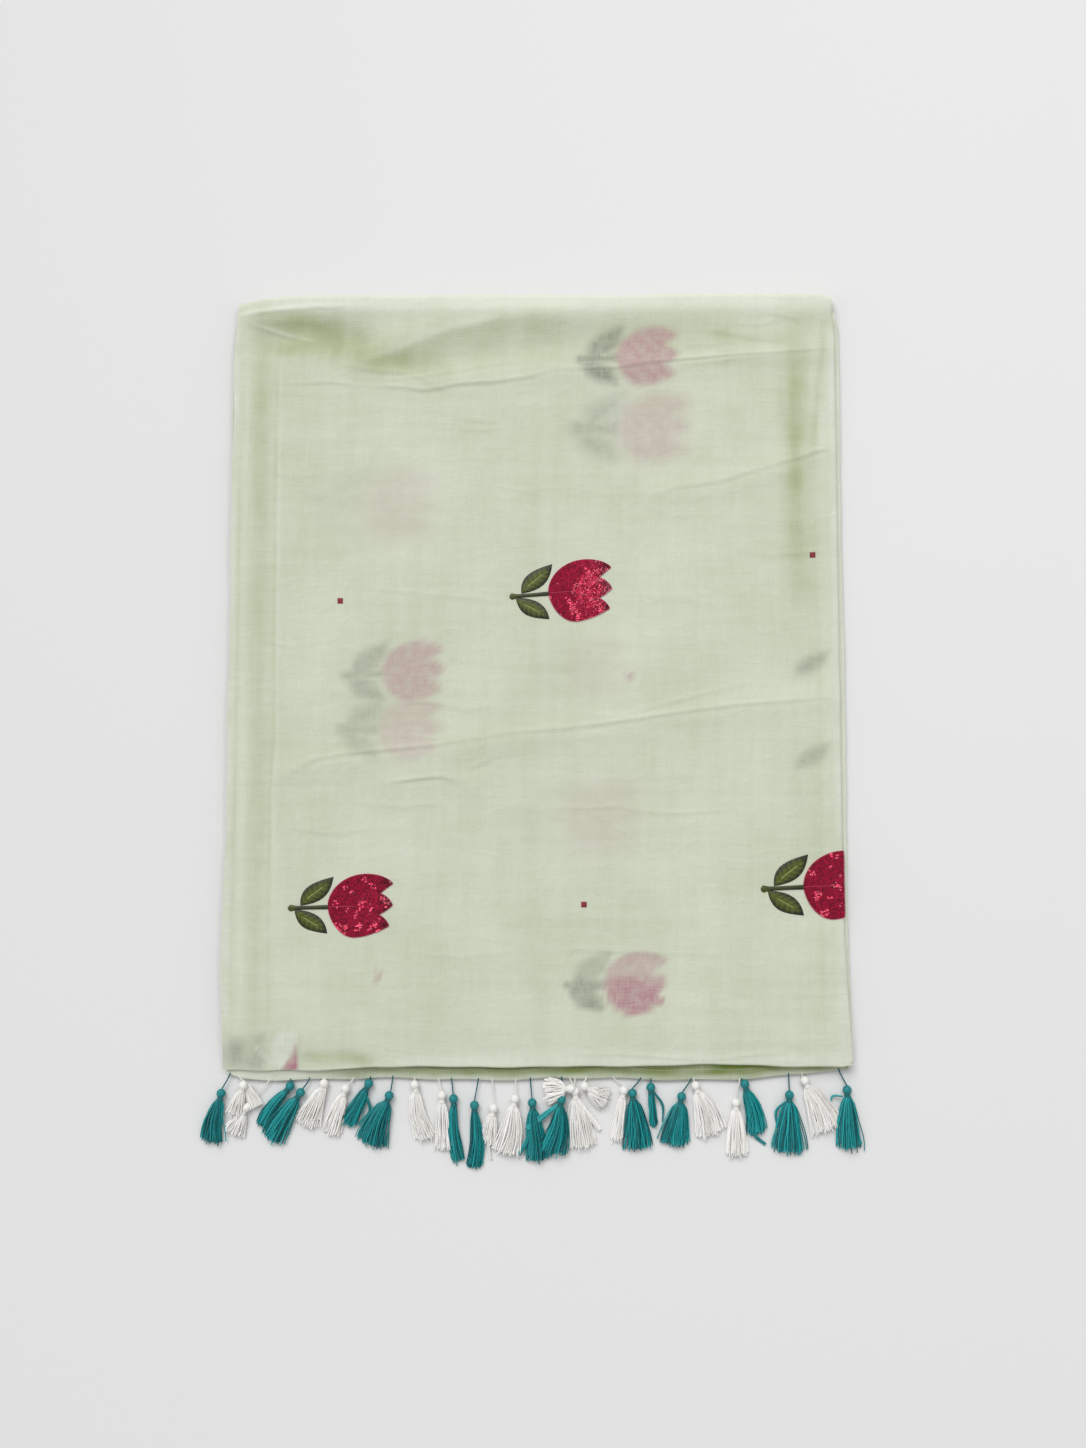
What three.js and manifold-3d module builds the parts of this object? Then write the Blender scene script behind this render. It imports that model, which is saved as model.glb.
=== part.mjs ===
// A sari, folded flat into a rectangular packet and lying on its back.
//
// The cloth is one length, 5.5 m by 1.12 m. It is folded in half along its length, with the
// fold on the right and the two long edges on the left, and then three times across. The
// decorated end lies just under the top layer and sticks out at the bottom, with its hem
// and its tassels. Millimetres, +X to the right, +Y to the top fold, +Z up. The origin is
// the middle of the flat underside.

import * as THREE from 'three';
import { mergeVertices } from 'three/addons/utils/BufferGeometryUtils.js';
import Module from 'manifold-3d';

const wasm = await Module();
wasm.setup();

// Driving dimensions

const WALL = 1.2;            // thickness that stands for one stretch of doubled cloth
const GAP = 0.3;             // clearance between neighbouring pieces
const HALF_WIDTH = 280;      // half of the packet's width
const RIGHT_FOLD_X = 275;    // the top layer's own fold, just inside the folds below it
const TOP_FOLD_Y = 351;      // the outermost line of the big round fold
const BOTTOM_FOLD_Y = -353;  // the lower edge of the top layer
const TOP_LEVEL = 13.4;      // height of the middle of the top layer's wall
const UNDER_LEVEL = WALL / 2;
const UNDERSIDE_END_Y = -344;
const UNDERSIDE_END_X = 276;
const TOP_ROLL_END_X = 271;

const RIGHT_ROLL_RADIUS = 2.4;
const RIGHT_ROLL_LENGTH = Math.PI * RIGHT_ROLL_RADIUS;
const BOTTOM_ROLL_RADIUS = 1.5;
const BOTTOM_RETURN = 12;    // how far the top layer runs back under itself
const RETURN_INSET = 8;      // the return is narrower than the layer above it
const TOP_ROLL_DEPTH = 7;    // how far the big fold reaches past the layers inside it

const CORNER_DIP = 1.5;      // how much lower the bottom left corner lies

const PALLU_START_Y = -300;
const PALLU_AIR = 0.1;
const PALLU_LIP_LEVEL = 3.2; // height of the hem's edge, out past the layers below
const HEM_WIDTH = 10.5;
const HEM_THICKNESS = 1.0;

const MOTIF_THICKNESS = 1.0;

const TASSEL_THREAD_RADIUS = 0.75;
const THREAD_CLEARANCE = 0.7; // from the hem's edge to the middle of the thread's end
const TASSEL_HEAD_RADIUS = 4.3;
const TASSEL_NECK_RADIUS = 3.4;
const TASSEL_HEAD_LENGTH = 10;
const LOWER_STRANDS = 4;
const UPPER_STRANDS = 2;
const STRAND_ROOT_RADIUS = 1.2;
const THICKEST_STRAND = 2.6;
const SHORTEST_BY = 3;        // how much shorter than the longest a strand may be

// The largest folds of the top layer. Each runs along a curve from one point through a
// second to a third, rises by so much, or sinks where the rise is negative, and fades out
// over its reach to either side.

const FOLDS = [
  { name: 'puffed band', from: [-150, 342], through: [60, 339], to: [262, 341], rise: 1.8, reach: 13 },
  { name: 'corner line', from: [-278, 330], through: [-220, 336], to: [-163, 341], rise: 1.6, reach: 9 },
  { name: 'corner hollow', from: [-250, 309], through: [-213, 314], to: [-160, 308], rise: -4.6, reach: 15 },
  { name: 'fanning ridge', from: [-165, 289], through: [-85, 321], to: [30, 333], rise: 3.0, reach: 13 },
  { name: 'fanning trough', from: [-120, 282], through: [-30, 299], to: [90, 314], rise: -2.4, reach: 13 },
  { name: 'upper crease', from: [-134, 270], through: [40, 281], to: [273, 300], rise: 1.7, reach: 12 },
  { name: 'right crease', from: [111, 165], through: [185, 179], to: [262, 207], rise: 1.4, reach: 13 },
  { name: 'long diagonal', from: [-226, -90], through: [-20, -60], to: [268, -21], rise: 1.7, reach: 14 },
  { name: 'short diagonal', from: [-136, -103], through: [-95, -92], to: [-60, -103], rise: 1.1, reach: 12 },
  { name: 'middle line', from: [-17, 215], through: [-8, -60], to: [7, -335], rise: -0.8, reach: 17 },
  { name: 'left band', from: [-254, 290], through: [-255, 0], to: [-252, -330], rise: -1.1, reach: 13 },
  { name: 'right band', from: [247, 285], through: [246, 0], to: [249, -320], rise: -1.1, reach: 12 },
];

// Rows of the top layer lie closer together where its folds are deep.

const ROW_BANDS = [
  { from: -351.5, to: -339.5, rows: 2 },
  { from: -339.5, to: -120, rows: 5 },
  { from: -120, to: -10, rows: 8 },
  { from: -10, to: 150, rows: 3 },
  { from: 150, to: 250, rows: 5 },
  { from: 250, to: 344, rows: 12 },
];
const COLUMNS = 22;
const RIGHT_ROLL_COLUMNS = 4;
const TOP_ROLL_ROWS = 7;
const BOTTOM_ROLL_ROWS = 3;

// Flowers sewn on the top layer: the foot of the stem, the turn in degrees and the scale.

const MOTIFS = [
  { name: 'a', x: -224, y: -212.5, turn: 1.5, scale: 1.0 },
  { name: 'b', x: -26, y: 69.5, turn: 4.5, scale: 1.0 },
  { name: 'c', x: 200, y: -195.5, turn: 2.5, scale: 1.08 },
];

// Tassels, from left to right: where the thread leaves the hem, the middle of the head,
// the middle of the skirt's end, and how wide the skirt spreads there.

const TEAL = 'teal';
const WHITE = 'white';
const TASSELS = [
  { colour: TEAL, hemX: -275, headX: -283, headY: -378, tipX: -290.5, tipY: -419, spread: 23 },
  { colour: WHITE, hemX: -267, headX: -267, headY: -372, tipX: -273, tipY: -396, spread: 9.5 },
  { colour: WHITE, hemX: -256, headX: -257, headY: -381, tipX: -267, tipY: -414, spread: 14 },
  { colour: TEAL, hemX: -221, headX: -222, headY: -372, tipX: -247, tipY: -406, spread: 9 },
  { colour: TEAL, hemX: -204, headX: -212, headY: -379, tipX: -235, tipY: -420, spread: 18 },
  { colour: WHITE, hemX: -191, headX: -192, headY: -371, tipX: -207, tipY: -405, spread: 19 },
  { colour: WHITE, hemX: -165, headX: -172, headY: -375, tipX: -185, tipY: -413, spread: 14 },
  { colour: TEAL, hemX: -150, headX: -151, headY: -371, tipX: -168, tipY: -405, spread: 13 },
  { colour: TEAL, hemX: -129, headX: -133, headY: -380, tipX: -147.5, tipY: -423, spread: 31 },
  { colour: WHITE, hemX: -110, headX: -110, headY: -372, tipX: -101.5, tipY: -418, spread: 15 },
  { colour: WHITE, hemX: -89, headX: -86, headY: -380, tipX: -85, tipY: -426, spread: 12 },
  { colour: TEAL, hemX: -77, headX: -74.5, headY: -384, tipX: -70.5, tipY: -437, spread: 11 },
  { colour: TEAL, hemX: -53, headX: -56, headY: -389, tipX: -56, tipY: -442, spread: 11 },
  { colour: WHITE, hemX: -41, headX: -39.5, headY: -392, tipX: -43.5, tipY: -418, spread: 11 },
  { colour: WHITE, hemX: -20, headX: -20.5, headY: -384, tipX: -28, tipY: -429, spread: 20 },
  { colour: TEAL, hemX: -6, headX: -4.5, headY: -388, tipX: -4, tipY: -436, spread: 17 },
  { colour: TEAL, hemX: 20, headX: 20, headY: -386, tipX: 15, tipY: -431, spread: 15 },
  { colour: WHITE, hemX: 29, headX: 27, headY: -374, tipX: 7, tipY: -375.5, spread: 20, lift: 2.6 },
  { colour: WHITE, hemX: 36, headX: 36, headY: -382, tipX: 41, tipY: -424, spread: 25 },
  { colour: WHITE, hemX: 47, headX: 45, headY: -373, tipX: 61, tipY: -381, spread: 17 },
  { colour: WHITE, hemX: 69, headX: 75.5, headY: -381, tipX: 70, tipY: -418, spread: 10 },
  { colour: TEAL, hemX: 92, headX: 85.5, headY: -379, tipX: 89, tipY: -426, spread: 22 },
  { colour: TEAL, hemX: 101, headX: 101.5, headY: -374, tipX: 103.8, tipY: -408, spread: 8 },
  { colour: TEAL, hemX: 137, headX: 129, headY: -381, tipX: 122, tipY: -423, spread: 29 },
  { colour: WHITE, hemX: 140, headX: 142, headY: -372, tipX: 155.5, tipY: -413, spread: 28 },
  { colour: WHITE, hemX: 179, headX: 177, headY: -386.5, tipX: 177.5, tipY: -431, spread: 20 },
  { colour: TEAL, hemX: 184, headX: 187.5, headY: -371, tipX: 197, tipY: -412.5, spread: 19 },
  { colour: TEAL, hemX: 225, headX: 225, headY: -380, tipX: 224.5, tipY: -428.5, spread: 28 },
  { colour: WHITE, hemX: 234, headX: 239, headY: -369, tipX: 257, tipY: -410, spread: 26 },
  { colour: TEAL, hemX: 270, headX: 277, headY: -376, tipX: 280, tipY: -425, spread: 22 },
];

// Materials

const cloth = new THREE.MeshStandardMaterial({ color: '#cdd7be', roughness: 0.9, metalness: 0 });
const shadedCloth = new THREE.MeshStandardMaterial({ color: '#b9c49f', roughness: 0.9, metalness: 0 });
const hemCloth = new THREE.MeshStandardMaterial({ color: '#d6ddc8', roughness: 0.9, metalness: 0 });
const redSequins = new THREE.MeshStandardMaterial({ color: '#a0122e', roughness: 0.35, metalness: 0.2 });
const greenThread = new THREE.MeshStandardMaterial({ color: '#4a5a1a', roughness: 0.7, metalness: 0 });
const tealThread = new THREE.MeshStandardMaterial({ color: '#0a8286', roughness: 0.6, metalness: 0 });
const whiteThread = new THREE.MeshStandardMaterial({ color: '#efede8', roughness: 0.6, metalness: 0 });

// Small mathematics

const mix = (a, b, t) => a + (b - a) * t;

const steps = (first, last) => Array.from({ length: last - first + 1 }, (_, i) => first + i);

function ramp(value, start, end) {
  return THREE.MathUtils.smoothstep((value - start) / (end - start), 0, 1);
}

function bell(distance, reach) {
  return Math.exp(-((distance / reach) ** 2));
}

// Each fold is a curve with its own distance function.

const CURVE_STEPS = 24;
const foldCurves = FOLDS.map((fold) => {
  const bend = fold.through.map((v, axis) => 2 * v - (fold.from[axis] + fold.to[axis]) / 2);
  const curve = new THREE.QuadraticBezierCurve(
    new THREE.Vector2(...fold.from),
    new THREE.Vector2(...bend),
    new THREE.Vector2(...fold.to),
  );
  return { ...fold, points: curve.getPoints(CURVE_STEPS) };
});

function foldRise(fold, x, y) {
  const here = new THREE.Vector2(x, y);
  const nearest = Math.min(...fold.points.map((point) => point.distanceTo(here)));
  return fold.rise * bell(nearest, fold.reach);
}

// The outline of the top layer

function leftEdge(y) {
  return -HALF_WIDTH - 1 + 4 * ramp(y, 300, 345);
}

function rightEdge(y) {
  return RIGHT_FOLD_X + 7 * bell(y + 330, 60);
}

function bottomEdge(x) {
  return BOTTOM_FOLD_Y - 1.2 * (1 - ramp(x, -190, -120)) + 2 * bell(x - 150, 70);
}

function topEdge(x) {
  return TOP_FOLD_Y - 6 * bell(x + 285, 30) + 2 * ramp(x, 100, 240);
}

// Height of the top layer's wall, folds included

function topHeight(x, y) {
  const folds = foldCurves.reduce((sum, fold) => sum + foldRise(fold, x, y), 0);
  const leftFall = 2.4 * (1 - ramp(x, -HALF_WIDTH, -HALF_WIDTH + 26));
  const rightFall = 0.6 * ramp(x, RIGHT_FOLD_X - 26, RIGHT_FOLD_X);
  const bottomFall = 1.2 * (1 - ramp(y, BOTTOM_FOLD_Y, BOTTOM_FOLD_Y + 30));
  const endFade = ramp(x, -HALF_WIDTH, -HALF_WIDTH + 12) * ramp(y, BOTTOM_FOLD_Y, BOTTOM_FOLD_Y + 20);
  return TOP_LEVEL + folds * endFade - leftFall - rightFall - bottomFall - cornerDip(x, y);
}

// At the bottom left corner the layers thin out, and all of them lie lower towards the hem.

function cornerDip(x, y) {
  return CORNER_DIP * (1 - ramp(x, -225, -150)) * (1 - ramp(y, BOTTOM_FOLD_Y, -318));
}

// A row of the outer stretch is a line across the cloth. It has the row's place along y
// and z for each x, where the row ends on the right, and how far the roll there is turned.

function rollStart(turn, end) {
  return end - mix(RIGHT_ROLL_LENGTH, RIGHT_ROLL_RADIUS, turn);
}

function returnRow(step) {
  const along = step / BOTTOM_ROLL_ROWS;
  return {
    turn: 0,
    end: RIGHT_FOLD_X - RETURN_INSET,
    place: (x) => ({
      y: bottomEdge(x) + mix(BOTTOM_RETURN, BOTTOM_ROLL_RADIUS, along),
      z: topHeight(x, bottomEdge(x)) - 2 * BOTTOM_ROLL_RADIUS,
    }),
  };
}

function bottomRollRow(step) {
  const angle = Math.PI * (step / BOTTOM_ROLL_ROWS);
  return {
    turn: 0,
    end: RIGHT_FOLD_X - RETURN_INSET * (1 - ramp(step, 0, BOTTOM_ROLL_ROWS)),
    place: (x) => ({
      y: bottomEdge(x) + BOTTOM_ROLL_RADIUS * (1 - Math.sin(angle)),
      z: topHeight(x, bottomEdge(x)) - BOTTOM_ROLL_RADIUS * (1 + Math.cos(angle)),
    }),
  };
}

function topRow(rowY) {
  const turn = ramp(rowY, -351.5, -322) * (1 - ramp(rowY, 322, 344));
  const last = ROW_BANDS[ROW_BANDS.length - 1].to;
  return {
    turn,
    end: mix(rightEdge(rowY), TOP_ROLL_END_X, ramp(rowY, 318, 344)),
    place: (x) => {
      const low = bottomEdge(x) + BOTTOM_ROLL_RADIUS;
      const squeeze = ramp(rowY, ROW_BANDS[0].from, -250);
      const high = topEdge(x) - TOP_ROLL_DEPTH;
      const lifted = mix(low, rowY, squeeze);
      const y = lifted + (high - last) * ramp(rowY, 300, last);
      return { y, z: topHeight(x, y) };
    },
  };
}

function topRollRow(step) {
  const angle = Math.PI * (step / TOP_ROLL_ROWS);
  return {
    turn: 0,
    end: mix(TOP_ROLL_END_X, UNDERSIDE_END_X, step / TOP_ROLL_ROWS),
    place: (x) => {
      const start = topEdge(x) - TOP_ROLL_DEPTH;
      const high = topHeight(x, start);
      const middle = (high + UNDER_LEVEL) / 2;
      const y = start + TOP_ROLL_DEPTH * Math.sin(angle);
      return { y, z: middle + (high - middle) * Math.cos(angle) };
    },
  };
}

function undersideRow(rowY) {
  return {
    turn: 0,
    end: UNDERSIDE_END_X,
    place: () => ({ y: rowY, z: UNDER_LEVEL }),
  };
}

function bandRows(bands) {
  const first = [bands[0].from];
  const rest = bands.flatMap(({ from, to, rows }) =>
    Array.from({ length: rows }, (_, i) => mix(from, to, (i + 1) / rows)));
  return first.concat(rest);
}

// A point of a row, by column. The last columns roll down round the right-hand fold.

function rowPoint(row, column) {
  const start = rollStart(row.turn, row.end);
  const left = leftEdge(row.place(-HALF_WIDTH).y);
  if (column <= COLUMNS) {
    const x = mix(left, start, column / COLUMNS);
    const { y, z } = row.place(x);
    return new THREE.Vector3(x, y, z);
  }
  const along = RIGHT_ROLL_LENGTH * ((column - COLUMNS) / RIGHT_ROLL_COLUMNS);
  const { y, z } = row.place(start);
  const bend = Math.max(row.turn, 0.001) / RIGHT_ROLL_RADIUS;
  const x = start + Math.sin(along * bend) / bend;
  return new THREE.Vector3(x, y, z - (1 - Math.cos(along * bend)) / bend);
}

function sheetPoints(rows) {
  const columns = COLUMNS + RIGHT_ROLL_COLUMNS;
  return rows.map((row) => Array.from({ length: columns + 1 }, (_, column) => rowPoint(row, column)));
}

// Closed walls from a grid of points

function gridNormals(points) {
  const rowCount = points.length;
  const columnCount = points[0].length;
  return points.map((row, i) => row.map((_, j) => {
    const across = row[Math.min(j + 1, columnCount - 1)].clone().sub(row[Math.max(j - 1, 0)]);
    const before = points[Math.max(i - 1, 0)][j];
    const after = points[Math.min(i + 1, rowCount - 1)][j];
    return across.cross(after.clone().sub(before)).normalize();
  }));
}

// Two copies of the grid, moved out along its normals, are stitched into one closed wall.

function wallGeometry(points, normals, low, high) {
  const rowCount = points.length;
  const columnCount = points[0].length;
  const layer = rowCount * columnCount;
  const positions = [];
  for (const offset of [low, high]) {
    points.forEach((row, i) => row.forEach((point, j) => {
      positions.push(...point.clone().addScaledVector(normals[i][j], offset).toArray());
    }));
  }
  const index = [];
  const quad = (a, b, c, d) => index.push(a, b, c, a, c, d);
  const at = (i, j, side) => side * layer + i * columnCount + j;
  for (let i = 0; i < rowCount - 1; i += 1) {
    for (let j = 0; j < columnCount - 1; j += 1) {
      quad(at(i, j, 1), at(i, j + 1, 1), at(i + 1, j + 1, 1), at(i + 1, j, 1));
      quad(at(i, j, 0), at(i + 1, j, 0), at(i + 1, j + 1, 0), at(i, j + 1, 0));
    }
    const last = columnCount - 1;
    quad(at(i, 0, 0), at(i, 0, 1), at(i + 1, 0, 1), at(i + 1, 0, 0));
    quad(at(i, last, 1), at(i, last, 0), at(i + 1, last, 0), at(i + 1, last, 1));
  }
  for (let j = 0; j < columnCount - 1; j += 1) {
    const last = rowCount - 1;
    quad(at(0, j, 1), at(0, j, 0), at(0, j + 1, 0), at(0, j + 1, 1));
    quad(at(last, j, 0), at(last, j, 1), at(last, j + 1, 1), at(last, j + 1, 0));
  }
  const geometry = new THREE.BufferGeometry();
  geometry.setAttribute('position', new THREE.Float32BufferAttribute(positions, 3));
  geometry.setIndex(index);
  return geometry;
}

// To and from solids that can be joined and cut

function solidOf(geometry) {
  const plain = geometry.clone();
  plain.deleteAttribute('normal');
  plain.deleteAttribute('uv');
  const merged = mergeVertices(plain, 1e-5);
  return new wasm.Manifold(new wasm.Mesh({
    numProp: 3,
    vertProperties: new Float32Array(merged.attributes.position.array),
    triVerts: new Uint32Array(merged.index.array),
  }));
}

function geometryOf(solid) {
  const mesh = solid.getMesh();
  const geometry = new THREE.BufferGeometry();
  geometry.setAttribute('position', new THREE.Float32BufferAttribute(mesh.vertProperties, 3));
  geometry.setIndex(Array.from(mesh.triVerts));
  return geometry;
}

function joined(solids) {
  return solids.reduce((whole, piece) => whole.add(piece));
}

// The outer stretch: back under itself at the bottom, over the top, round the big fold and
// flat underneath

const topYs = bandRows(ROW_BANDS);
const backRows = steps(0, BOTTOM_ROLL_ROWS - 1).map(returnRow);
const bottomRollRows = steps(0, BOTTOM_ROLL_ROWS - 1).map(bottomRollRow);
const topRows = topYs.map(topRow);
const topRollRows = steps(1, TOP_ROLL_ROWS).map(topRollRow);
const undersideRows = [200, 0, -200, UNDERSIDE_END_Y].map(undersideRow);
const outerRows = [...backRows, ...bottomRollRows, ...topRows, ...topRollRows, ...undersideRows];
const outerPoints = sheetPoints(outerRows);
const outerNormals = gridNormals(outerPoints);

function outerStretch() {
  return wallGeometry(outerPoints, outerNormals, -WALL / 2, WALL / 2);
}

// What lies under the top layer sinks a little more below its right-hand roll.

function sinkBelowRoll(x) {
  return 1.4 * ramp(x, RIGHT_FOLD_X - 28, RIGHT_FOLD_X - 6);
}

// The hidden layers: one rounded solid with the layers' folds as scallops round its sides

const HIDDEN = { left: -276, right: 276, bottom: -342, top: 339, floor: WALL + GAP };
const HIDDEN_COLUMNS = 18;
const HIDDEN_BANDS = [
  { from: HIDDEN.bottom, to: -294, rows: 2 },
  { from: -294, to: -264, rows: 1 },
  { from: -264, to: 240, rows: 9 },
  { from: 240, to: HIDDEN.top, rows: 9 },
];
const HOLLOW_DEEPER = 1.25;   // the layers below keep clear of a hollow by this share
const LOOSE_AIR = 0.8;
const LEAST_HIDDEN = 1;
const UNDER_RIGHT_ROLL = 5.0; // room for the roll at the right-hand fold
const UNDER_PALLU = 5.7;      // room for the end of the sari and the top layer's return
const SIDE_LEVELS = 8;
const SIDES = {
  left: { round: 1.0, scallop: 2.2, out: [-1, 0] },
  right: { round: 0.8, scallop: 2.4, out: [1, 0] },
  bottom: { round: 0.4, scallop: 1.8, out: [0, -1] },
  top: { round: 5.4, scallop: 0, out: [0, 1] },
  corner: { round: 0, scallop: 0, out: [0, 0] },
};

function hiddenHeight(x, y) {
  const hollows = foldCurves
    .filter((fold) => fold.rise < 0)
    .reduce((sum, fold) => sum + HOLLOW_DEEPER * foldRise(fold, x, y), 0);
  const underWall = TOP_LEVEL - WALL / 2 - GAP - LOOSE_AIR;
  const sinkRight = UNDER_RIGHT_ROLL * ramp(x, HALF_WIDTH - 34, HALF_WIDTH - 12);
  const sunk = UNDER_PALLU + sinkBelowRoll(x) + cornerDip(x, BOTTOM_FOLD_Y);
  const sinkBottom = sunk * (1 - ramp(y, PALLU_START_Y + 4, PALLU_START_Y + 34));
  const sinkLeft = 2.4 * (1 - ramp(x, -HALF_WIDTH, -HALF_WIDTH + 30));
  const sinkTop = 1.4 * ramp(y, 318, HIDDEN.top);
  const sinks = Math.max(sinkRight, sinkBottom) + sinkLeft + sinkTop;
  return Math.max(underWall + hollows - sinks, HIDDEN.floor + LEAST_HIDDEN);
}

// Once round the top's grid, from the corner at the bottom left. A corner has no side of
// its own and stays where it is.

function gridBoundary(rowCount, columnCount) {
  const lastRow = rowCount - 1;
  const lastColumn = columnCount - 1;
  const at = (row, column) => row * columnCount + column;
  return [
    { side: 'corner', vertex: at(0, 0) },
    ...steps(1, lastColumn - 1).map((j) => ({ side: 'bottom', vertex: at(0, j) })),
    { side: 'corner', vertex: at(0, lastColumn) },
    ...steps(1, lastRow - 1).map((i) => ({ side: 'right', vertex: at(i, lastColumn) })),
    { side: 'corner', vertex: at(lastRow, lastColumn) },
    ...steps(1, lastColumn - 1).map((j) => ({ side: 'top', vertex: at(lastRow, lastColumn - j) })),
    { side: 'corner', vertex: at(lastRow, 0) },
    ...steps(1, lastRow - 1).map((i) => ({ side: 'left', vertex: at(lastRow - i, 0) })),
  ];
}

function foldedLayers() {
  const positions = [];
  const index = [];
  const rowYs = bandRows(HIDDEN_BANDS);
  const columns = HIDDEN_COLUMNS + 1;
  for (const y of rowYs) {
    for (const j of steps(0, HIDDEN_COLUMNS)) {
      const x = mix(HIDDEN.left, HIDDEN.right, j / HIDDEN_COLUMNS);
      positions.push(x, y, hiddenHeight(x, y));
    }
  }
  for (const i of steps(0, rowYs.length - 2)) {
    for (const j of steps(0, HIDDEN_COLUMNS - 1)) {
      const a = i * columns + j;
      index.push(a, a + 1, a + columns + 1, a, a + columns + 1, a + columns);
    }
  }
  const loop = gridBoundary(rowYs.length, columns);
  let above = loop.map(({ vertex }) => vertex);
  for (const level of steps(1, SIDE_LEVELS)) {
    const drop = level / SIDE_LEVELS;
    const ring = loop.map(({ side, vertex }, k) => {
      const { round, scallop, out } = SIDES[side];
      const uneven = 0.75 + 0.25 * Math.sin(k * 1.7 + level);
      const peak = level % 2;
      const bulge = round * Math.sin(Math.PI * drop) + scallop * peak * uneven;
      const [x, y, z] = positions.slice(3 * vertex, 3 * vertex + 3);
      positions.push(x + out[0] * bulge, y + out[1] * bulge, mix(z, HIDDEN.floor, drop));
      return positions.length / 3 - 1;
    });
    ring.forEach((current, k) => {
      const next = (k + 1) % ring.length;
      index.push(above[k], current, ring[next], above[k], ring[next], above[next]);
    });
    above = ring;
  }
  const contour = above.map((k) => new THREE.Vector2(positions[3 * k], positions[3 * k + 1]));
  for (const [a, b, c] of THREE.ShapeUtils.triangulateShape(contour, [])) {
    index.push(above[a], above[c], above[b]);
  }
  const geometry = new THREE.BufferGeometry();
  geometry.setAttribute('position', new THREE.Float32BufferAttribute(positions, 3));
  geometry.setIndex(index);
  return geometry;
}

// The end of the sari: flat under the top layer, then down over the edge of the layers
// below, to its hem

const PALLU_COLUMNS = 24;
const PALLU_ROWS = 5;
const HEM_ROWS = 2;

function hemEdge(x) {
  const wave = 1.6 * Math.sin(x / 29) + 1.1 * Math.sin(x / 11 + 1);
  return -364.8 + 0.6 * wave + 8 * ramp(x, 190, 285);
}

function palluPoint(x, y) {
  const past = ramp(y, hemEdge(x) + 17, hemEdge(x) - 2);
  const underTop = topHeight(x, bottomEdge(x)) - 2 * BOTTOM_ROLL_RADIUS;
  const level = underTop - WALL - GAP - PALLU_AIR - sinkBelowRoll(x);
  return new THREE.Vector3(x, y, mix(level, PALLU_LIP_LEVEL, past));
}

const palluPoints = steps(0, PALLU_ROWS + HEM_ROWS).map((i) =>
  steps(0, PALLU_COLUMNS).map((j) => {
    const x = mix(-HALF_WIDTH + 2, HALF_WIDTH - 2, j / PALLU_COLUMNS);
    const hem = hemEdge(x);
    const onHem = mix(hem, hem + HEM_WIDTH, i / HEM_ROWS);
    const inside = mix(hem + HEM_WIDTH, PALLU_START_Y, (i - HEM_ROWS) / PALLU_ROWS);
    return palluPoint(x, i <= HEM_ROWS ? onHem : inside);
  }));
const palluNormals = gridNormals(palluPoints);

// The hem's lower edge between two columns is a straight line.

function hemLine(x) {
  const edge = palluPoints[0];
  const right = edge.findIndex((point) => point.x >= x);
  const before = edge[right - 1];
  const after = edge[right];
  return mix(before.y, after.y, (x - before.x) / (after.x - before.x));
}

function palluStretch() {
  return wallGeometry(palluPoints, palluNormals, -WALL / 2, WALL / 2);
}

function palluHem() {
  const rows = palluPoints.slice(0, HEM_ROWS + 1);
  const low = WALL / 2 + GAP;
  return wallGeometry(rows, palluNormals.slice(0, HEM_ROWS + 1), low, low + HEM_THICKNESS);
}

// Flowers: outlines laid on the top layer. The bloom opens to +X from the end of the stem.

const STEM_LENGTH = 36;
const STEM_WIDTH = 4.6;
const FOOT_FLARE = 1.2;

function bloomOutline() {
  const shape = new THREE.Shape();
  shape.moveTo(STEM_LENGTH + GAP, 0);
  shape.bezierCurveTo(36, 14, 50, 28.5, 68, 28.5);
  shape.bezierCurveTo(78, 28.5, 88, 24, 92.6, 18.6);
  shape.quadraticCurveTo(86, 15, 81.2, 10);
  shape.quadraticCurveTo(91, 7, 93.8, 0);
  shape.quadraticCurveTo(91, -7, 81.2, -10);
  shape.quadraticCurveTo(86, -15, 92.6, -18.6);
  shape.bezierCurveTo(88, -24, 78, -28.5, 68, -28.5);
  shape.bezierCurveTo(50, -28.5, 36, -14, STEM_LENGTH + GAP, 0);
  return shape;
}

function stemOutline() {
  const half = STEM_WIDTH / 2;
  const shape = new THREE.Shape();
  shape.moveTo(0, -half - FOOT_FLARE);
  shape.quadraticCurveTo(4, -half, STEM_LENGTH, -half);
  shape.lineTo(STEM_LENGTH, half);
  shape.quadraticCurveTo(4, half, 0, half + FOOT_FLARE);
  return shape;
}

function upperLeafOutline() {
  const shape = new THREE.Shape();
  shape.moveTo(12, 0.5);
  shape.bezierCurveTo(11, 17, 20, 24, 39.5, 27);
  shape.bezierCurveTo(36, 9, 26, 5, 12, 0.5);
  return shape;
}

function lowerLeafOutline() {
  const shape = new THREE.Shape();
  shape.moveTo(5, -0.5);
  shape.bezierCurveTo(18, -4, 29, -6, 34.5, -26);
  shape.bezierCurveTo(20, -22, 10, -20, 5, -0.5);
  return shape;
}

const CUTTER_FLOOR = 8.5;    // a flower that wraps round the right-hand fold ends here
const CUTTER_HEIGHT = 60;
const CURVE_SEGMENTS = 5;

function cutter(shape, { x, y, turn, scale }) {
  const settings = { depth: CUTTER_HEIGHT, bevelEnabled: false, curveSegments: CURVE_SEGMENTS };
  const geometry = new THREE.ExtrudeGeometry(shape, settings);
  geometry.scale(scale, scale, 1);
  geometry.rotateZ(THREE.MathUtils.degToRad(turn));
  geometry.translate(x, y, CUTTER_FLOOR);
  return solidOf(geometry);
}

// A skin that follows the top layer's own points, a gap above it

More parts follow.
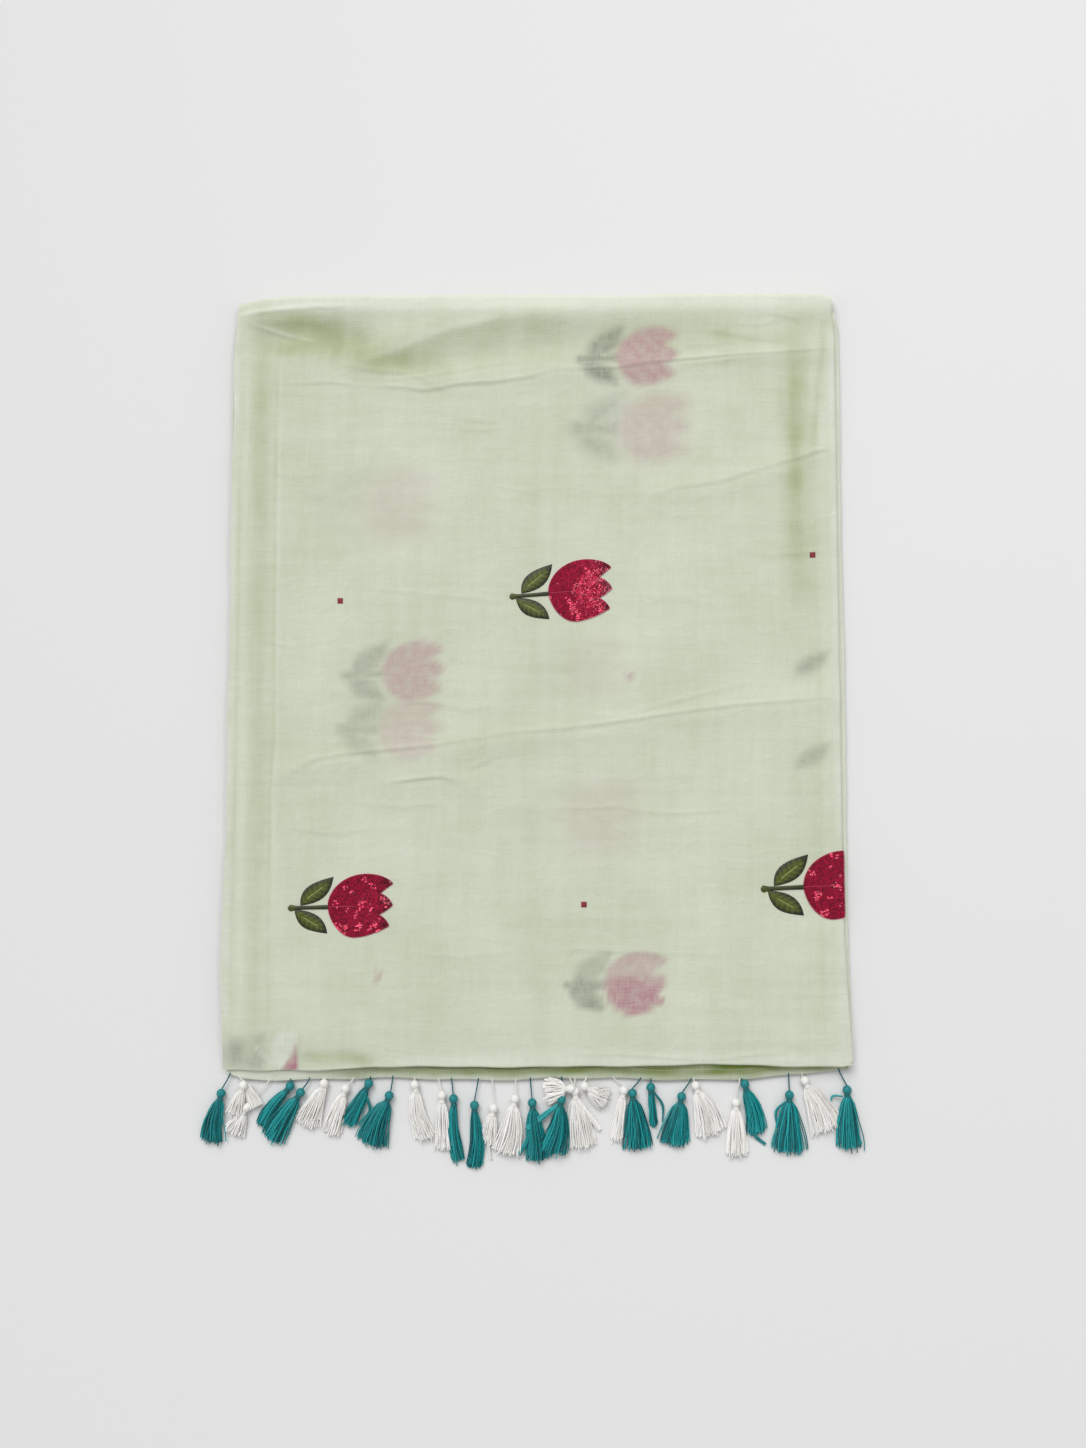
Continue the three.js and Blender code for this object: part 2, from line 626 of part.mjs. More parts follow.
function topSkin() {
  const first = backRows.length + bottomRollRows.length;
  const last = first + topRows.length;
  const low = WALL / 2 + GAP;
  const points = outerPoints.slice(first, last);
  const normals = outerNormals.slice(first, last);
  return solidOf(wallGeometry(points, normals, low, low + MOTIF_THICKNESS));
}

const skin = topSkin();

function bloom(motif) {
  return geometryOf(skin.intersect(cutter(bloomOutline(), motif)));
}

function stemAndLeaves(motif) {
  const outlines = [stemOutline(), upperLeafOutline(), lowerLeafOutline()];
  const tool = joined(outlines.map((outline) => cutter(outline, motif)));
  return geometryOf(skin.intersect(tool));
}

// A tapered rod with few sides, along a row of stations. Its first corner points up.

function rod(stations, sides) {
  const positions = [];
  const index = [];
  stations.forEach(({ at, radius }, i) => {
    const before = stations[Math.max(i - 1, 0)].at;
    const after = stations[Math.min(i + 1, stations.length - 1)].at;
    const along = after.clone().sub(before).normalize();
    const across = new THREE.Vector3(0, 0, 1).cross(along).normalize();
    const up = along.clone().cross(across);
    for (let k = 0; k < sides; k += 1) {
      const angle = (2 * Math.PI * k) / sides;
      const corner = at.clone()
        .addScaledVector(up, radius * Math.cos(angle))
        .addScaledVector(across, radius * Math.sin(angle));
      positions.push(...corner.toArray());
    }
  });
  for (let i = 0; i < stations.length - 1; i += 1) {
    for (let k = 0; k < sides; k += 1) {
      const next = (k + 1) % sides;
      const a = i * sides;
      const b = a + sides;
      index.push(a + k, b + k, b + next, a + k, b + next, a + next);
    }
  }
  const end = (stations.length - 1) * sides;
  for (let k = 1; k < sides - 1; k += 1) {
    index.push(0, k, k + 1);
    index.push(end, end + k + 1, end + k);
  }
  const geometry = new THREE.BufferGeometry();
  geometry.setAttribute('position', new THREE.Float32BufferAttribute(positions, 3));
  geometry.setIndex(index);
  return solidOf(geometry);
}

// The thread drops from the hem to the floor and runs along it to the head.

function tasselThread(hem, head, lift) {
  const landed = hem.clone().lerp(head, 0.35).setZ(GAP + TASSEL_THREAD_RADIUS + lift);
  const stations = [hem, landed, head];
  return rod(stations.map((at) => ({ at, radius: TASSEL_THREAD_RADIUS })), 3);
}

function tasselHead(head, along) {
  const half = TASSEL_HEAD_LENGTH / 2;
  const station = (distance, radius) => ({ at: head.clone().addScaledVector(along, distance), radius });
  return rod([
    station(-half, 0.45 * TASSEL_HEAD_RADIUS),
    station(-0.4 * half, TASSEL_HEAD_RADIUS),
    station(0.3 * half, TASSEL_HEAD_RADIUS),
    station(half, TASSEL_NECK_RADIUS),
  ], 6);
}

function skirtRow(neck, tip, side, count, spread, lift) {
  const thickness = Math.min(0.5 * (spread / (LOWER_STRANDS - 1)), THICKEST_STRAND);
  return steps(0, count - 1).map((k) => {
    const place = k / (count - 1) - 0.5;
    const shorter = SHORTEST_BY * Math.abs(Math.sin(k * 2.1 + tip.x));
    const root = neck.clone().addScaledVector(side, place * TASSEL_NECK_RADIUS);
    const end = tip.clone().addScaledVector(side, place * spread);
    end.addScaledVector(root.clone().sub(end).setZ(0).normalize(), shorter);
    end.z = GAP + thickness / 2 + lift;
    return rod([{ at: root, radius: STRAND_ROOT_RADIUS }, { at: end, radius: thickness }], 3);
  });
}

function tassel({ hemX, headX, headY, tipX, tipY, spread, lift = 0 }) {
  const headZ = GAP + TASSEL_HEAD_RADIUS + lift;
  const head = new THREE.Vector3(headX, headY, headZ);
  const tip = new THREE.Vector3(tipX, tipY, headZ);
  const along = tip.clone().sub(head).normalize();
  const side = new THREE.Vector3(0, 0, 1).cross(along);
  const neck = head.clone().addScaledVector(along, 0.35 * TASSEL_HEAD_LENGTH);
  const hem = new THREE.Vector3(hemX, hemLine(hemX) - THREAD_CLEARANCE, PALLU_LIP_LEVEL + 0.4);
  const lowerNeck = neck.clone().setZ(headZ - STRAND_ROOT_RADIUS);
  const upperNeck = neck.clone().setZ(headZ + STRAND_ROOT_RADIUS);
  const upperLift = 0.16 * spread;
  return geometryOf(joined([
    tasselHead(head, along),
    tasselThread(hem, head, lift),
    ...skirtRow(lowerNeck, tip, side, LOWER_STRANDS, spread, lift),
    ...skirtRow(upperNeck, tip, side, UPPER_STRANDS, 0.6 * spread, lift + upperLift),
  ]));
}

// The scene graph

function part(name, geometry, material) {
  const mesh = new THREE.Mesh(geometry, material);
  mesh.name = name;
  return mesh;
}

const group = new THREE.Group();
group.add(part('outer_stretch', outerStretch(), cloth));
group.add(part('folded_layers', foldedLayers(), shadedCloth));
group.add(part('pallu_stretch', palluStretch(), shadedCloth));
group.add(part('pallu_hem', palluHem(), hemCloth));
for (const motif of MOTIFS) {
  group.add(part(`bloom_${motif.name}`, bloom(motif), redSequins));
  group.add(part(`stem_${motif.name}`, stemAndLeaves(motif), greenThread));
}
TASSELS.forEach((row, i) => {
  const number = String(i + 1).padStart(2, '0');
  const material = row.colour === TEAL ? tealThread : whiteThread;
  group.add(part(`tassel_${number}`, tassel(row), material));
});

export default group;
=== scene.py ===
# %% [markdown]
# # A folded sari, finished
# The sari lies folded flat on its back. It is a long piece of mul, a soft and slightly sheer
# cotton, folded in half along its length and then three times across. Sequinned flowers are
# sewn on it, and tassels hang from the hem at its decorated end.
#
# The solid model gives the places and sizes. Every visible surface is made again here, thinner
# and finer, on the same formulas. Sizes are in millimetres while a shape is worked out, and
# turn to metres when it becomes a mesh.

import bpy
import numpy as np
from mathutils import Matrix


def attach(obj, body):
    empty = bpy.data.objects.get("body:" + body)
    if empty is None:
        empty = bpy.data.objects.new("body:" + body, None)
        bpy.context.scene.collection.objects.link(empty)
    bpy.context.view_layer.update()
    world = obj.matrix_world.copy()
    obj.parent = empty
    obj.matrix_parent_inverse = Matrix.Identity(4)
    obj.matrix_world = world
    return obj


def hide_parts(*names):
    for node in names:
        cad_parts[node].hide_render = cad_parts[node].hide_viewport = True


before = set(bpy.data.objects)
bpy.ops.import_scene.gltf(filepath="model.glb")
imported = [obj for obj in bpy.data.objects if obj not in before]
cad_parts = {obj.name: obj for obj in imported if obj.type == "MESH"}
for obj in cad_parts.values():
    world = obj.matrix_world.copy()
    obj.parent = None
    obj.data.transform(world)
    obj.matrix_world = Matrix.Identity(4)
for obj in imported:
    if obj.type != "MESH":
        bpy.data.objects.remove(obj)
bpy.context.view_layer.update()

# %% [markdown]
# ## Small tools
# Cloth is drawn with a few soft functions: a ramp for something that sets in gradually, a bell
# for something that fades to both sides, and ripples for what has no clear shape. They take
# whole arrays, so a surface of fifty thousand points is worked out in one go.

# %% Soft functions
MM = 0.001


def mix(a, b, share):
    """a where share is 0, b where it is 1, and in proportion between."""
    return a + (b - a) * share


def ramp(value, start, end):
    """0 before start, 1 after end, and an S between them: 3 t squared minus 2 t cubed."""
    t = np.clip((value - start) / (end - start), 0, 1)
    return t * t * (3 - 2 * t)


def bell(distance, reach):
    """1 at distance 0, falling to both sides as e to the minus (distance / reach) squared."""
    return np.exp(-((distance / reach) ** 2))


def ripples(x, y, shortest, longest, seed, count=14):
    """Sum of sine waves in all directions, with lengths between two sizes, about 1 high."""
    draw = np.random.default_rng(seed)
    length = draw.uniform(shortest, longest, count)
    heading = draw.uniform(0, np.pi, count)
    phase = draw.uniform(0, 2 * np.pi, count)
    total = np.zeros(np.broadcast(x, y).shape)
    for wave, turn, start in zip(length, heading, phase):
        along = x * np.cos(turn) + y * np.sin(turn)
        total += np.sin(2 * np.pi * along / wave + start)
    return total / np.sqrt(count)


# %% [markdown]
# A curve on the cloth is a short list of points. To know how near each place of the cloth is
# to it, the distance to every stretch of the line is worked out and the nearest one is kept,
# with its side and how far along the line it lies.

# %% Lines on the cloth
def bezier(a, b, c, d, count):
    """Points of a cubic Bezier curve: the four points weighted by 1 3 3 1 and powers of t."""
    t = np.linspace(0, 1, count)[:, None]
    a, b, c, d = (np.array(p, dtype=float) for p in (a, b, c, d))
    return a * (1 - t) ** 3 + 3 * b * t * (1 - t) ** 2 + 3 * c * t * t * (1 - t) + d * t**3


def through_three(first, middle, last, count):
    """Points of the parabola that passes through the middle point halfway along."""
    t = np.linspace(0, 1, count)[:, None]
    first, middle, last = (np.array(p, dtype=float) for p in (first, middle, last))
    bend = 2 * middle - (first + last) / 2
    return first * (1 - t) ** 2 + 2 * bend * t * (1 - t) + last * t * t


def beside_line(x, y, line):
    """Signed distance to a line, positive on its left, and the share of it passed there."""
    line = np.asarray(line, dtype=float)
    lengths = np.linalg.norm(np.diff(line, axis=0), axis=1)
    passed = np.concatenate([[0], np.cumsum(lengths)]) / lengths.sum()
    nearest = np.full(np.broadcast(x, y).shape, np.inf)
    side = np.ones_like(nearest)
    share = np.zeros_like(nearest)
    for k in range(len(lengths)):
        step = line[k + 1] - line[k]
        dx = x - line[k, 0]
        dy = y - line[k, 1]
        t = np.clip((dx * step[0] + dy * step[1]) / lengths[k] ** 2, 0, 1)
        distance = np.hypot(dx - t * step[0], dy - t * step[1])
        closer = distance < nearest
        nearest = np.where(closer, distance, nearest)
        side = np.where(closer, np.sign(step[0] * dy - step[1] * dx), side)
        share = np.where(closer, mix(passed[k], passed[k + 1], t), share)
    return nearest * side, share


# %% [markdown]
# ## Meshes
# A sheet is a grid of points. Cloth has a thickness, so the grid is moved out to both sides
# along its own normals, and a band of faces closes the rim. A mesh made so is watertight.

# %% Walls from grids
def unit(vectors):
    """Each vector divided by its length."""
    return vectors / np.maximum(np.linalg.norm(vectors, axis=-1, keepdims=True), 1e-9)


def two_skins(outer, inner):
    """Vertices and faces of the closed body between two grids of the same shape."""
    rows, columns, _ = outer.shape
    count = rows * columns
    index = np.arange(count).reshape(rows, columns)
    corners = (index[:-1, :-1], index[:-1, 1:], index[1:, 1:], index[1:, :-1])
    top = np.stack(corners, axis=-1).reshape(-1, 4)
    rim = np.concatenate([index[0, :], index[1:, -1], index[-1, -2::-1], index[-2:0:-1, 0]])
    after = np.roll(rim, -1)
    band = np.stack([rim, rim + count, after + count, after], axis=-1)
    vertices = np.concatenate([outer.reshape(-1, 3), inner.reshape(-1, 3)])
    return vertices, np.concatenate([top, top[:, ::-1] + count, band])


def wall(points, thickness):
    """A sheet of that thickness round its grid. A normal is the step along a row crossed with
    the step from row to row, and each skin lies half the thickness out along it."""
    normal = unit(np.cross(np.gradient(points, axis=1), np.gradient(points, axis=0)))
    push = normal * (thickness / 2)
    return two_skins(points + push, points - push)


def joined(bodies):
    """Several bodies of four-cornered faces as one list of vertices and one of faces."""
    starts = np.cumsum([0] + [len(vertices) for vertices, _ in bodies[:-1]])
    faces = [faces + start for (_, faces), start in zip(bodies, starts)]
    return np.concatenate([vertices for vertices, _ in bodies]), np.concatenate(faces)


# %% Putting a mesh in the scene
SHARP_RIM = np.radians(50)


def new_piece(name, body, material, slot, stands_for=(), **values):
    """A mesh object from a body: its vertices in millimetres, and its faces in one array or in
    a tuple of them. values are numbers for the vertices that the material reads."""
    vertices, faces = body
    arrays = faces if isinstance(faces, tuple) else (faces,)
    corners = [face for array in arrays for face in array.tolist()]
    mesh = bpy.data.meshes.new(name)
    mesh.from_pydata((vertices * MM).tolist(), [], corners)
    mesh.polygons.foreach_set("use_smooth", np.ones(len(mesh.polygons), dtype=bool))
    mesh.set_sharp_from_angle(angle=SHARP_RIM)
    for key, numbers in values.items():
        if key == "flat":
            order = np.empty(len(mesh.loops), dtype=np.int32)
            mesh.loops.foreach_get("vertex_index", order)
            layer = mesh.uv_layers.new(name="flat")
            layer.data.foreach_set("uv", (numbers * MM)[order].ravel())
        else:
            layer = mesh.attributes.new(key, "FLOAT", "POINT")
            whole = np.array(numbers + np.zeros(len(vertices)), dtype=np.float32)
            layer.data.foreach_set("value", whole)
    mesh.materials.append(material)
    piece = bpy.data.objects.new(name, mesh)
    bpy.context.scene.collection.objects.link(piece)
    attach(piece, "root")
    if stands_for:
        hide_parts(*stands_for)
    print(name, "has", len(corners), "faces")
    return piece


def twice(grid_values):
    """The same number for the outer skin and the inner one."""
    flat = grid_values.reshape(-1, *grid_values.shape[2:])
    return np.concatenate([flat, flat])

# %% [markdown]
# ## Materials
# One function adds a node, with its own settings and the values or links of its sockets. All
# colours are written as sRGB hex and turned to linear light in one place.

# %% Nodes and colours
def linear(hex_colour):
    """Linear RGBA of an sRGB hex colour: the low part is divided, the rest is a power of 2.4."""
    part = np.array([int(hex_colour[k : k + 2], 16) / 255 for k in (1, 3, 5)])
    light = np.where(part <= 0.04045, part / 12.92, ((part + 0.055) / 1.055) ** 2.4)
    return (*light.tolist(), 1.0)


def add(tree, kind, sockets=None, **settings):
    """Adds one node. sockets are numbers, colours or another node's outputs, by name."""
    node = tree.nodes.new(kind)
    for name, value in settings.items():
        setattr(node, name, value)
    for name, value in (sockets or {}).items():
        if isinstance(value, bpy.types.NodeSocket):
            tree.links.new(value, node.inputs[name])
        else:
            node.inputs[name].default_value = value
    return node


def new_material(name):
    """An empty material and its node tree."""
    material = bpy.data.materials.new(name)
    material.use_nodes = True
    material.node_tree.nodes.clear()
    return material, material.node_tree


def finish(tree, sockets):
    """Ends a material with one surface shader that has these sockets."""
    shader = add(tree, "ShaderNodeBsdfPrincipled", sockets)
    add(tree, "ShaderNodeOutputMaterial", {"Surface": shader.outputs[0]})


def stored(tree, key):
    """The number that the mesh holds for each vertex under that name."""
    return add(tree, "ShaderNodeAttribute", attribute_name=key).outputs["Fac"]


def blend_colour(tree, share, first, second):
    """The colour between two, by a share that is held between 0 and 1. A hex colour is turned
    to linear light."""
    ends = [linear(colour) if isinstance(colour, str) else colour for colour in (first, second)]
    sockets = {0: between(tree, share, 0, 1), 6: ends[0], 7: ends[1]}
    return add(tree, "ShaderNodeMix", sockets, data_type="RGBA").outputs[2]


def between(tree, value, low, high, to_low=0.0, to_high=1.0):
    """A number moved from one range to another and held inside it."""
    limits = zip(("From Min", "From Max", "To Min", "To Max"), (low, high, to_low, to_high))
    return add(tree, "ShaderNodeMapRange", {"Value": value} | dict(limits)).outputs["Result"]


def arithmetic(tree, operation, first, *others):
    """A sum, product or the like of two numbers or more, from left to right."""
    for other in others:
        node = add(tree, "ShaderNodeMath", {0: first, 1: other}, operation=operation)
        first = node.outputs[0]
    return first


def noise(tree, place, size, detail=3.0, roughness=0.5):
    """Soft noise from 0 to 1 whose largest spots have that size in millimetres."""
    sockets = {"Vector": place, "Scale": 1 / (size * MM), "Detail": detail, "Roughness": roughness}
    return add(tree, "ShaderNodeTexNoise", sockets).outputs["Fac"]


def bump(tree, height, depth, strength):
    """Relief of a height from 0 to 1 that is so many millimetres deep."""
    sockets = {"Height": height, "Distance": depth * MM, "Strength": strength}
    return add(tree, "ShaderNodeBump", sockets).outputs["Normal"]


# %% [markdown]
# ### Mul cotton
# Mul is woven loosely from fine handspun-like yarn. Some yarns are thicker for a few
# centimetres, so the cloth shows short pale streaks along both directions, and it crumples
# softly. The weave itself, three yarns to a millimetre, is too fine to show, so only the
# slubs are drawn, at their real size of about one millimetre by three centimetres, and broader
# faint bands where the folds below press the layers together. The cloth
# is matte with a faint bloom of fibre ends, which is a little sheen.
#
# Flowers on the layers below show through. Each place of the cloth holds numbers for how much pink,
# grey or white is seen there, and for how deep the green is: deeper where layers lie close, with
# painted shade in hollows and painted highlights along creases.

# %% Cloth material
SLUB_LENGTH = 24
SLUB_WIDTH = 1.0
BAND_SIZES = ((12, 170, 5.3), (120, 9, 2.9))
CRUMPLE_SIZE = 8
CLOUD_SIZE = 55
WRINKLE_SIZES = (34, 15)
WRINKLE_SHARPNESS = 0.05
SEEN_COLOURS = {"seen_pink": "#AE7084", "seen_grey": "#7E8276", "seen_white": "#E2E4DC"}


def slubs(tree, flat, length, width, seed):
    """Noise stretched to streaks: its scale is one over the size of a streak each way."""
    scale = (1 / (length * MM), 1 / (width * MM), 1)
    sockets = {"Vector": flat, "Location": (seed, seed, 0), "Scale": scale}
    stretched = add(tree, "ShaderNodeMapping", sockets).outputs["Vector"]
    return noise(tree, stretched, 1 / MM, 2.0, 0.6)


def wrinkles(tree, place, size):
    """Thin wandering ridges: 1 where a noise passes its middle value, 0 a little beside it."""
    off = arithmetic(tree, "SUBTRACT", noise(tree, place, size, 1.5), 0.5)
    return between(tree, arithmetic(tree, "ABSOLUTE", off, 0.0), 0, WRINKLE_SHARPNESS, 1, 0)


def mul_cotton(name, thin, deep, seen=False):
    """Mul in its own colour. thin is its colour over pale layers, deep over many layers and where
    shade is painted.
    """
    material, tree = new_material(name)
    flat = add(tree, "ShaderNodeUVMap", uv_map="flat").outputs["UV"]
    weft = slubs(tree, flat, SLUB_LENGTH, SLUB_WIDTH, 3.1)
    warp = slubs(tree, flat, SLUB_WIDTH, SLUB_LENGTH, 7.7)
    crossing = arithmetic(tree, "ADD", weft, warp)
    crumple = noise(tree, flat, CRUMPLE_SIZE)
    cloud = between(tree, noise(tree, flat, CLOUD_SIZE, 5.0), 0.3, 0.7, -0.08, 0.08)
    bands = arithmetic(tree, "ADD", *(slubs(tree, flat, *sizes) for sizes in BAND_SIZES))
    lying = between(tree, bands, 0.75, 1.25, -0.06, 0.06)
    streak = between(tree, crossing, 0.7, 1.3, 0.08, -0.08)
    share = arithmetic(tree, "ADD", stored(tree, "tone"), lying, cloud, streak)
    colour = blend_colour(tree, share, thin, deep)
    if seen:
        mottled = between(tree, arithmetic(tree, "ADD", crossing, crumple), 1.1, 1.9, 0.6, 1.4)
        for key, shade in SEEN_COLOURS.items():
            strength = arithmetic(tree, "MULTIPLY", stored(tree, key), mottled)
            colour = blend_colour(tree, strength, colour, shade)
    relief = arithmetic(tree, "ADD", arithmetic(tree, "MULTIPLY", crossing, 0.5), crumple)
    for size in WRINKLE_SIZES:
        ridge = arithmetic(tree, "MULTIPLY", wrinkles(tree, flat, size), 0.012 * size)
        relief = arithmetic(tree, "ADD", relief, ridge)
    sockets = {"Base Color": colour, "Roughness": 0.92, "Normal": bump(tree, relief, 0.5, 0.6)}
    sockets |= {"Sheen Weight": 0.12, "Sheen Roughness": 0.5, "Specular IOR Level": 0.25}
    finish(tree, sockets)
    return material


MUL_THIN = "#DDE2D2"
MUL_DEEP = "#ACB58F"
# MUL_DEEPEST is the deep green below the top layer's lower fold: many layers, and painted shade.
MUL_DEEPEST = "#78893F"
top_mul = mul_cotton("mul cotton, flowers below, painted light and shade", MUL_THIN, MUL_DEEP, seen=True)
edge_mul = mul_cotton("mul cotton, folded edges", MUL_THIN, MUL_DEEP)
end_mul = mul_cotton("mul cotton over many layers, painted shade", MUL_THIN, MUL_DEEPEST)
print("materials:", top_mul.name, "and", edge_mul.name, "and", end_mul.name)

# %% [markdown]
# ### Thread
# Tassels and leaves are made of cotton and silk-like floss. Each yarn catches the light along
# its length, and neighbouring yarns differ a little, so every yarn has its own shade number.

# %% Thread materials
def floss(name, dark, light, roughness, twist=0.8):
    """Twisted thread: its shade runs from dark to light, with fine fibres across it."""
    material, tree = new_material(name)
    place = add(tree, "ShaderNodeTexCoord").outputs["Object"]
    fibre = noise(tree, place, twist)
    uneven = between(tree, fibre, 0.3, 0.7, -0.22, 0.22)
    share = arithmetic(tree, "ADD", stored(tree, "shade"), uneven)
    colour = blend_colour(tree, share, dark, light)
    sockets = {"Base Color": colour, "Roughness": roughness, "Normal": bump(tree, fibre, 0.25, 0.5)}
    finish(tree, sockets | {"Sheen Weight": 0.15, "Sheen Roughness": 0.4})
    return material


teal_floss = floss("teal cotton floss", "#004E55", "#10A6A8", 0.55, 1.2)
white_floss = floss("white cotton floss", "#E6E3DE", "#FFFEFC", 0.6, 1.2)
leaf_floss = floss("olive satin stitch", "#101302", "#606A12", 0.5)
# The pale thread along each leaf's middle is a painted highlight on the satin stitch.
vein_highlight_floss = floss("pale olive thread, painted highlight", "#8C9A4A", "#B4BF78", 0.5)
green_cotton = floss("pale green sewing cotton", "#A9B68B", "#C4CEA9", 0.7)
rose_thread = floss("rose sewing thread", "#9C1F47", "#C2406A", 0.6)
# The padding's near-black red is partly painted shade between the sequin rows.
padding_shade_floss = floss("deep red padding thread, painted shade", "#2C030B", "#4E0816", 0.7)
dark_red_floss = floss("dark red satin stitch", "#5E0A18", "#A2182C", 0.5)
pink_floss = floss("pale pink edging thread", "#D79AA2", "#F0C4C8", 0.6)


# %% [markdown]
# ### Sequins
# A sequin is a small cupped disc stamped from metallised plastic film. It is dark where it
# mirrors the dark side of the room and flashes pink or white where it mirrors the light, so
# the finish is smooth and partly metallic under a clear coat, with a slightly different red
# from disc to disc.

# %% Sequin material
SPECK_SIZE = 1 / 0.7


def sequin_film(name, dark, light):
    """Red film: metallic, nearly smooth, under a clear coat."""
    material, tree = new_material(name)
    place = add(tree, "ShaderNodeTexCoord").outputs["Object"]
    speck = noise(tree, place, SPECK_SIZE, 2.0)
    uneven = between(tree, speck, 0.3, 0.7, -0.15, 0.15)
    share = arithmetic(tree, "ADD", stored(tree, "shade"), uneven)
    sockets = {"Base Color": blend_colour(tree, share, dark, light), "Metallic": 0.5}
    sockets |= {"Roughness": between(tree, speck, 0.3, 0.7, 0.2, 0.36), "Specular IOR Level": 0.3}
    finish(tree, sockets | {"Coat Weight": 0.3, "Coat Roughness": 0.1})
    return material


red_film = sequin_film("crimson sequin film", "#52011A", "#BE063F")

# %% [markdown]
# ## The shape of the packet
# The top layer lies on many folded layers. It is a gently uneven plane that ends in a fold on
# every side but the left: it rolls down at the right, turns back under itself at the bottom,
# and goes round all the layers in one big fold at the top. The same formulas gave the solids.

# %% Sizes of the packet
WALL = 1.2
GAP = 0.3
HALF_WIDTH = 280
RIGHT_FOLD_X = 275
TOP_FOLD_Y = 351
BOTTOM_FOLD_Y = -353
TOP_LEVEL = 13.4
UNDERSIDE_END_Y = -344
UNDERSIDE_END_X = 276
TOP_ROLL_END_X = 273
RIGHT_ROLL_RADIUS = 2.4
RIGHT_ROLL_LENGTH = np.pi * RIGHT_ROLL_RADIUS
BOTTOM_ROLL_RADIUS = 1.5
BOTTOM_RETURN = 12
RETURN_INSET = 8
TOP_ROLL_DEPTH = 7
CORNER_DIP = 3.2

LARGE_FOLDS = [
    # from, through, to, rise, reach
    ((-150, 342), (60, 339), (262, 341), 1.8, 13),
    ((-278, 330), (-220, 336), (-163, 341), 1.6, 9),
    ((-250, 309), (-213, 314), (-160, 308), -4.6, 15),
    ((-165, 289), (-85, 321), (30, 333), 2.5, 14),
    ((-120, 282), (-30, 299), (90, 314), -2.4, 13),
    ((-134, 270), (40, 281), (273, 300), 1.7, 12),
    ((111, 165), (185, 179), (262, 207), 1.4, 13),
    ((-226, -90), (-20, -60), (268, -21), 1.7, 14),
    ((-136, -103), (-95, -92), (-60, -103), 1.1, 12),
    ((-17, 215), (-8, -60), (7, -335), -0.8, 17),
    ((-254, 290), (-255, 0), (-252, -330), -1.1, 13),
    ((247, 285), (246, 0), (249, -320), -1.1, 12),
]
FOLD_STEPS = 25


def left_edge(y):
    """The left outline: a slightly wavy line, further in near the top fold and the corner."""
    waves = 0.5 * np.sin(y / 31) + 0.4 * np.sin(y / 12 + 1) - 2.2 * bell(y + 235, 75)
    return -HALF_WIDTH - 1 + waves + 4 * ramp(y, 300, 345) + 3.5 * (1 - ramp(y, -353, -338))


def right_edge(y):
    """The right-hand fold: a straight line with a bulge of 7 mm near the bottom."""
    return RIGHT_FOLD_X + 7 * bell(y + 330, 60)


def bottom_edge(x):
    """The lower edge of the top layer: lower and wavy at the left, a little higher right of
    the middle."""
    left = 1 - ramp(x, -216, -140)
    waves = 0.4 * np.sin(x / 21) + 0.25 * np.sin(x / 8 + 2) + 0.6 * left * np.sin(x / 7.5)
    return BOTTOM_FOLD_Y - 3.8 * left + 2 * bell(x - 150, 70) + waves


def lower_roll_radius(x):
    """The fold along the lower edge is pressed flat at the left, where few layers lie."""
    return mix(0.75, BOTTOM_ROLL_RADIUS, ramp(x, -196, -130))


def top_edge(x):
    """The line of the big fold: lower at the left corner, a little higher at the right."""
    ends = 8 * bell(x + 285, 30) + 3 * ramp(x, 258, 276)
    return TOP_FOLD_Y + 2.6 - ends + 1.6 * ramp(x, 40, 180)


def corner_dip(x, y):
    """How much lower the cloth lies at the bottom left corner, where layers end."""
    return CORNER_DIP * (1 - ramp(x, -225, -150)) * (1 - ramp(y, BOTTOM_FOLD_Y, -318))


def large_folds(x, y, sign=0):
    """Sum of the large folds, each its rise times a bell of the distance to its line."""
    total = np.zeros(np.broadcast(x, y).shape)
    for first, middle, last, rise, reach in LARGE_FOLDS:
        if sign == 0 or np.sign(rise) == sign:
            distance, _ = beside_line(x, y, through_three(first, middle, last, FOLD_STEPS))
            total += rise * bell(distance, reach)
    return total


def end_fade(x, y):
    """0 at the left and bottom edges and 1 inside, so that folds die out there."""
    return ramp(x, -HALF_WIDTH, -HALF_WIDTH + 12) * ramp(y, BOTTOM_FOLD_Y, BOTTOM_FOLD_Y + 20)


def plain_height(x, y):
    """The top layer's height: its level and large folds, less the falls towards its edges."""
    left_fall = 2.4 * (1 - ramp(x, -HALF_WIDTH, -HALF_WIDTH + 26))
    right_fall = 0.6 * ramp(x, RIGHT_FOLD_X - 26, RIGHT_FOLD_X)
    bottom_fall = 1.2 * (1 - ramp(y, BOTTOM_FOLD_Y, BOTTOM_FOLD_Y + 30))
    falls = left_fall + right_fall + bottom_fall + corner_dip(x, y)
    return TOP_LEVEL + large_folds(x, y) * end_fade(x, y) - falls


# %% [markdown]
# ### Creases
# Ironed folds and handling leave sharp little ridges. Each is a line of a few points, with its
# height and its width. A ridge has a shallow trough beside it, on its lower side, because the
# cloth that rises in one has been pulled from the other, and it fades out at both ends.

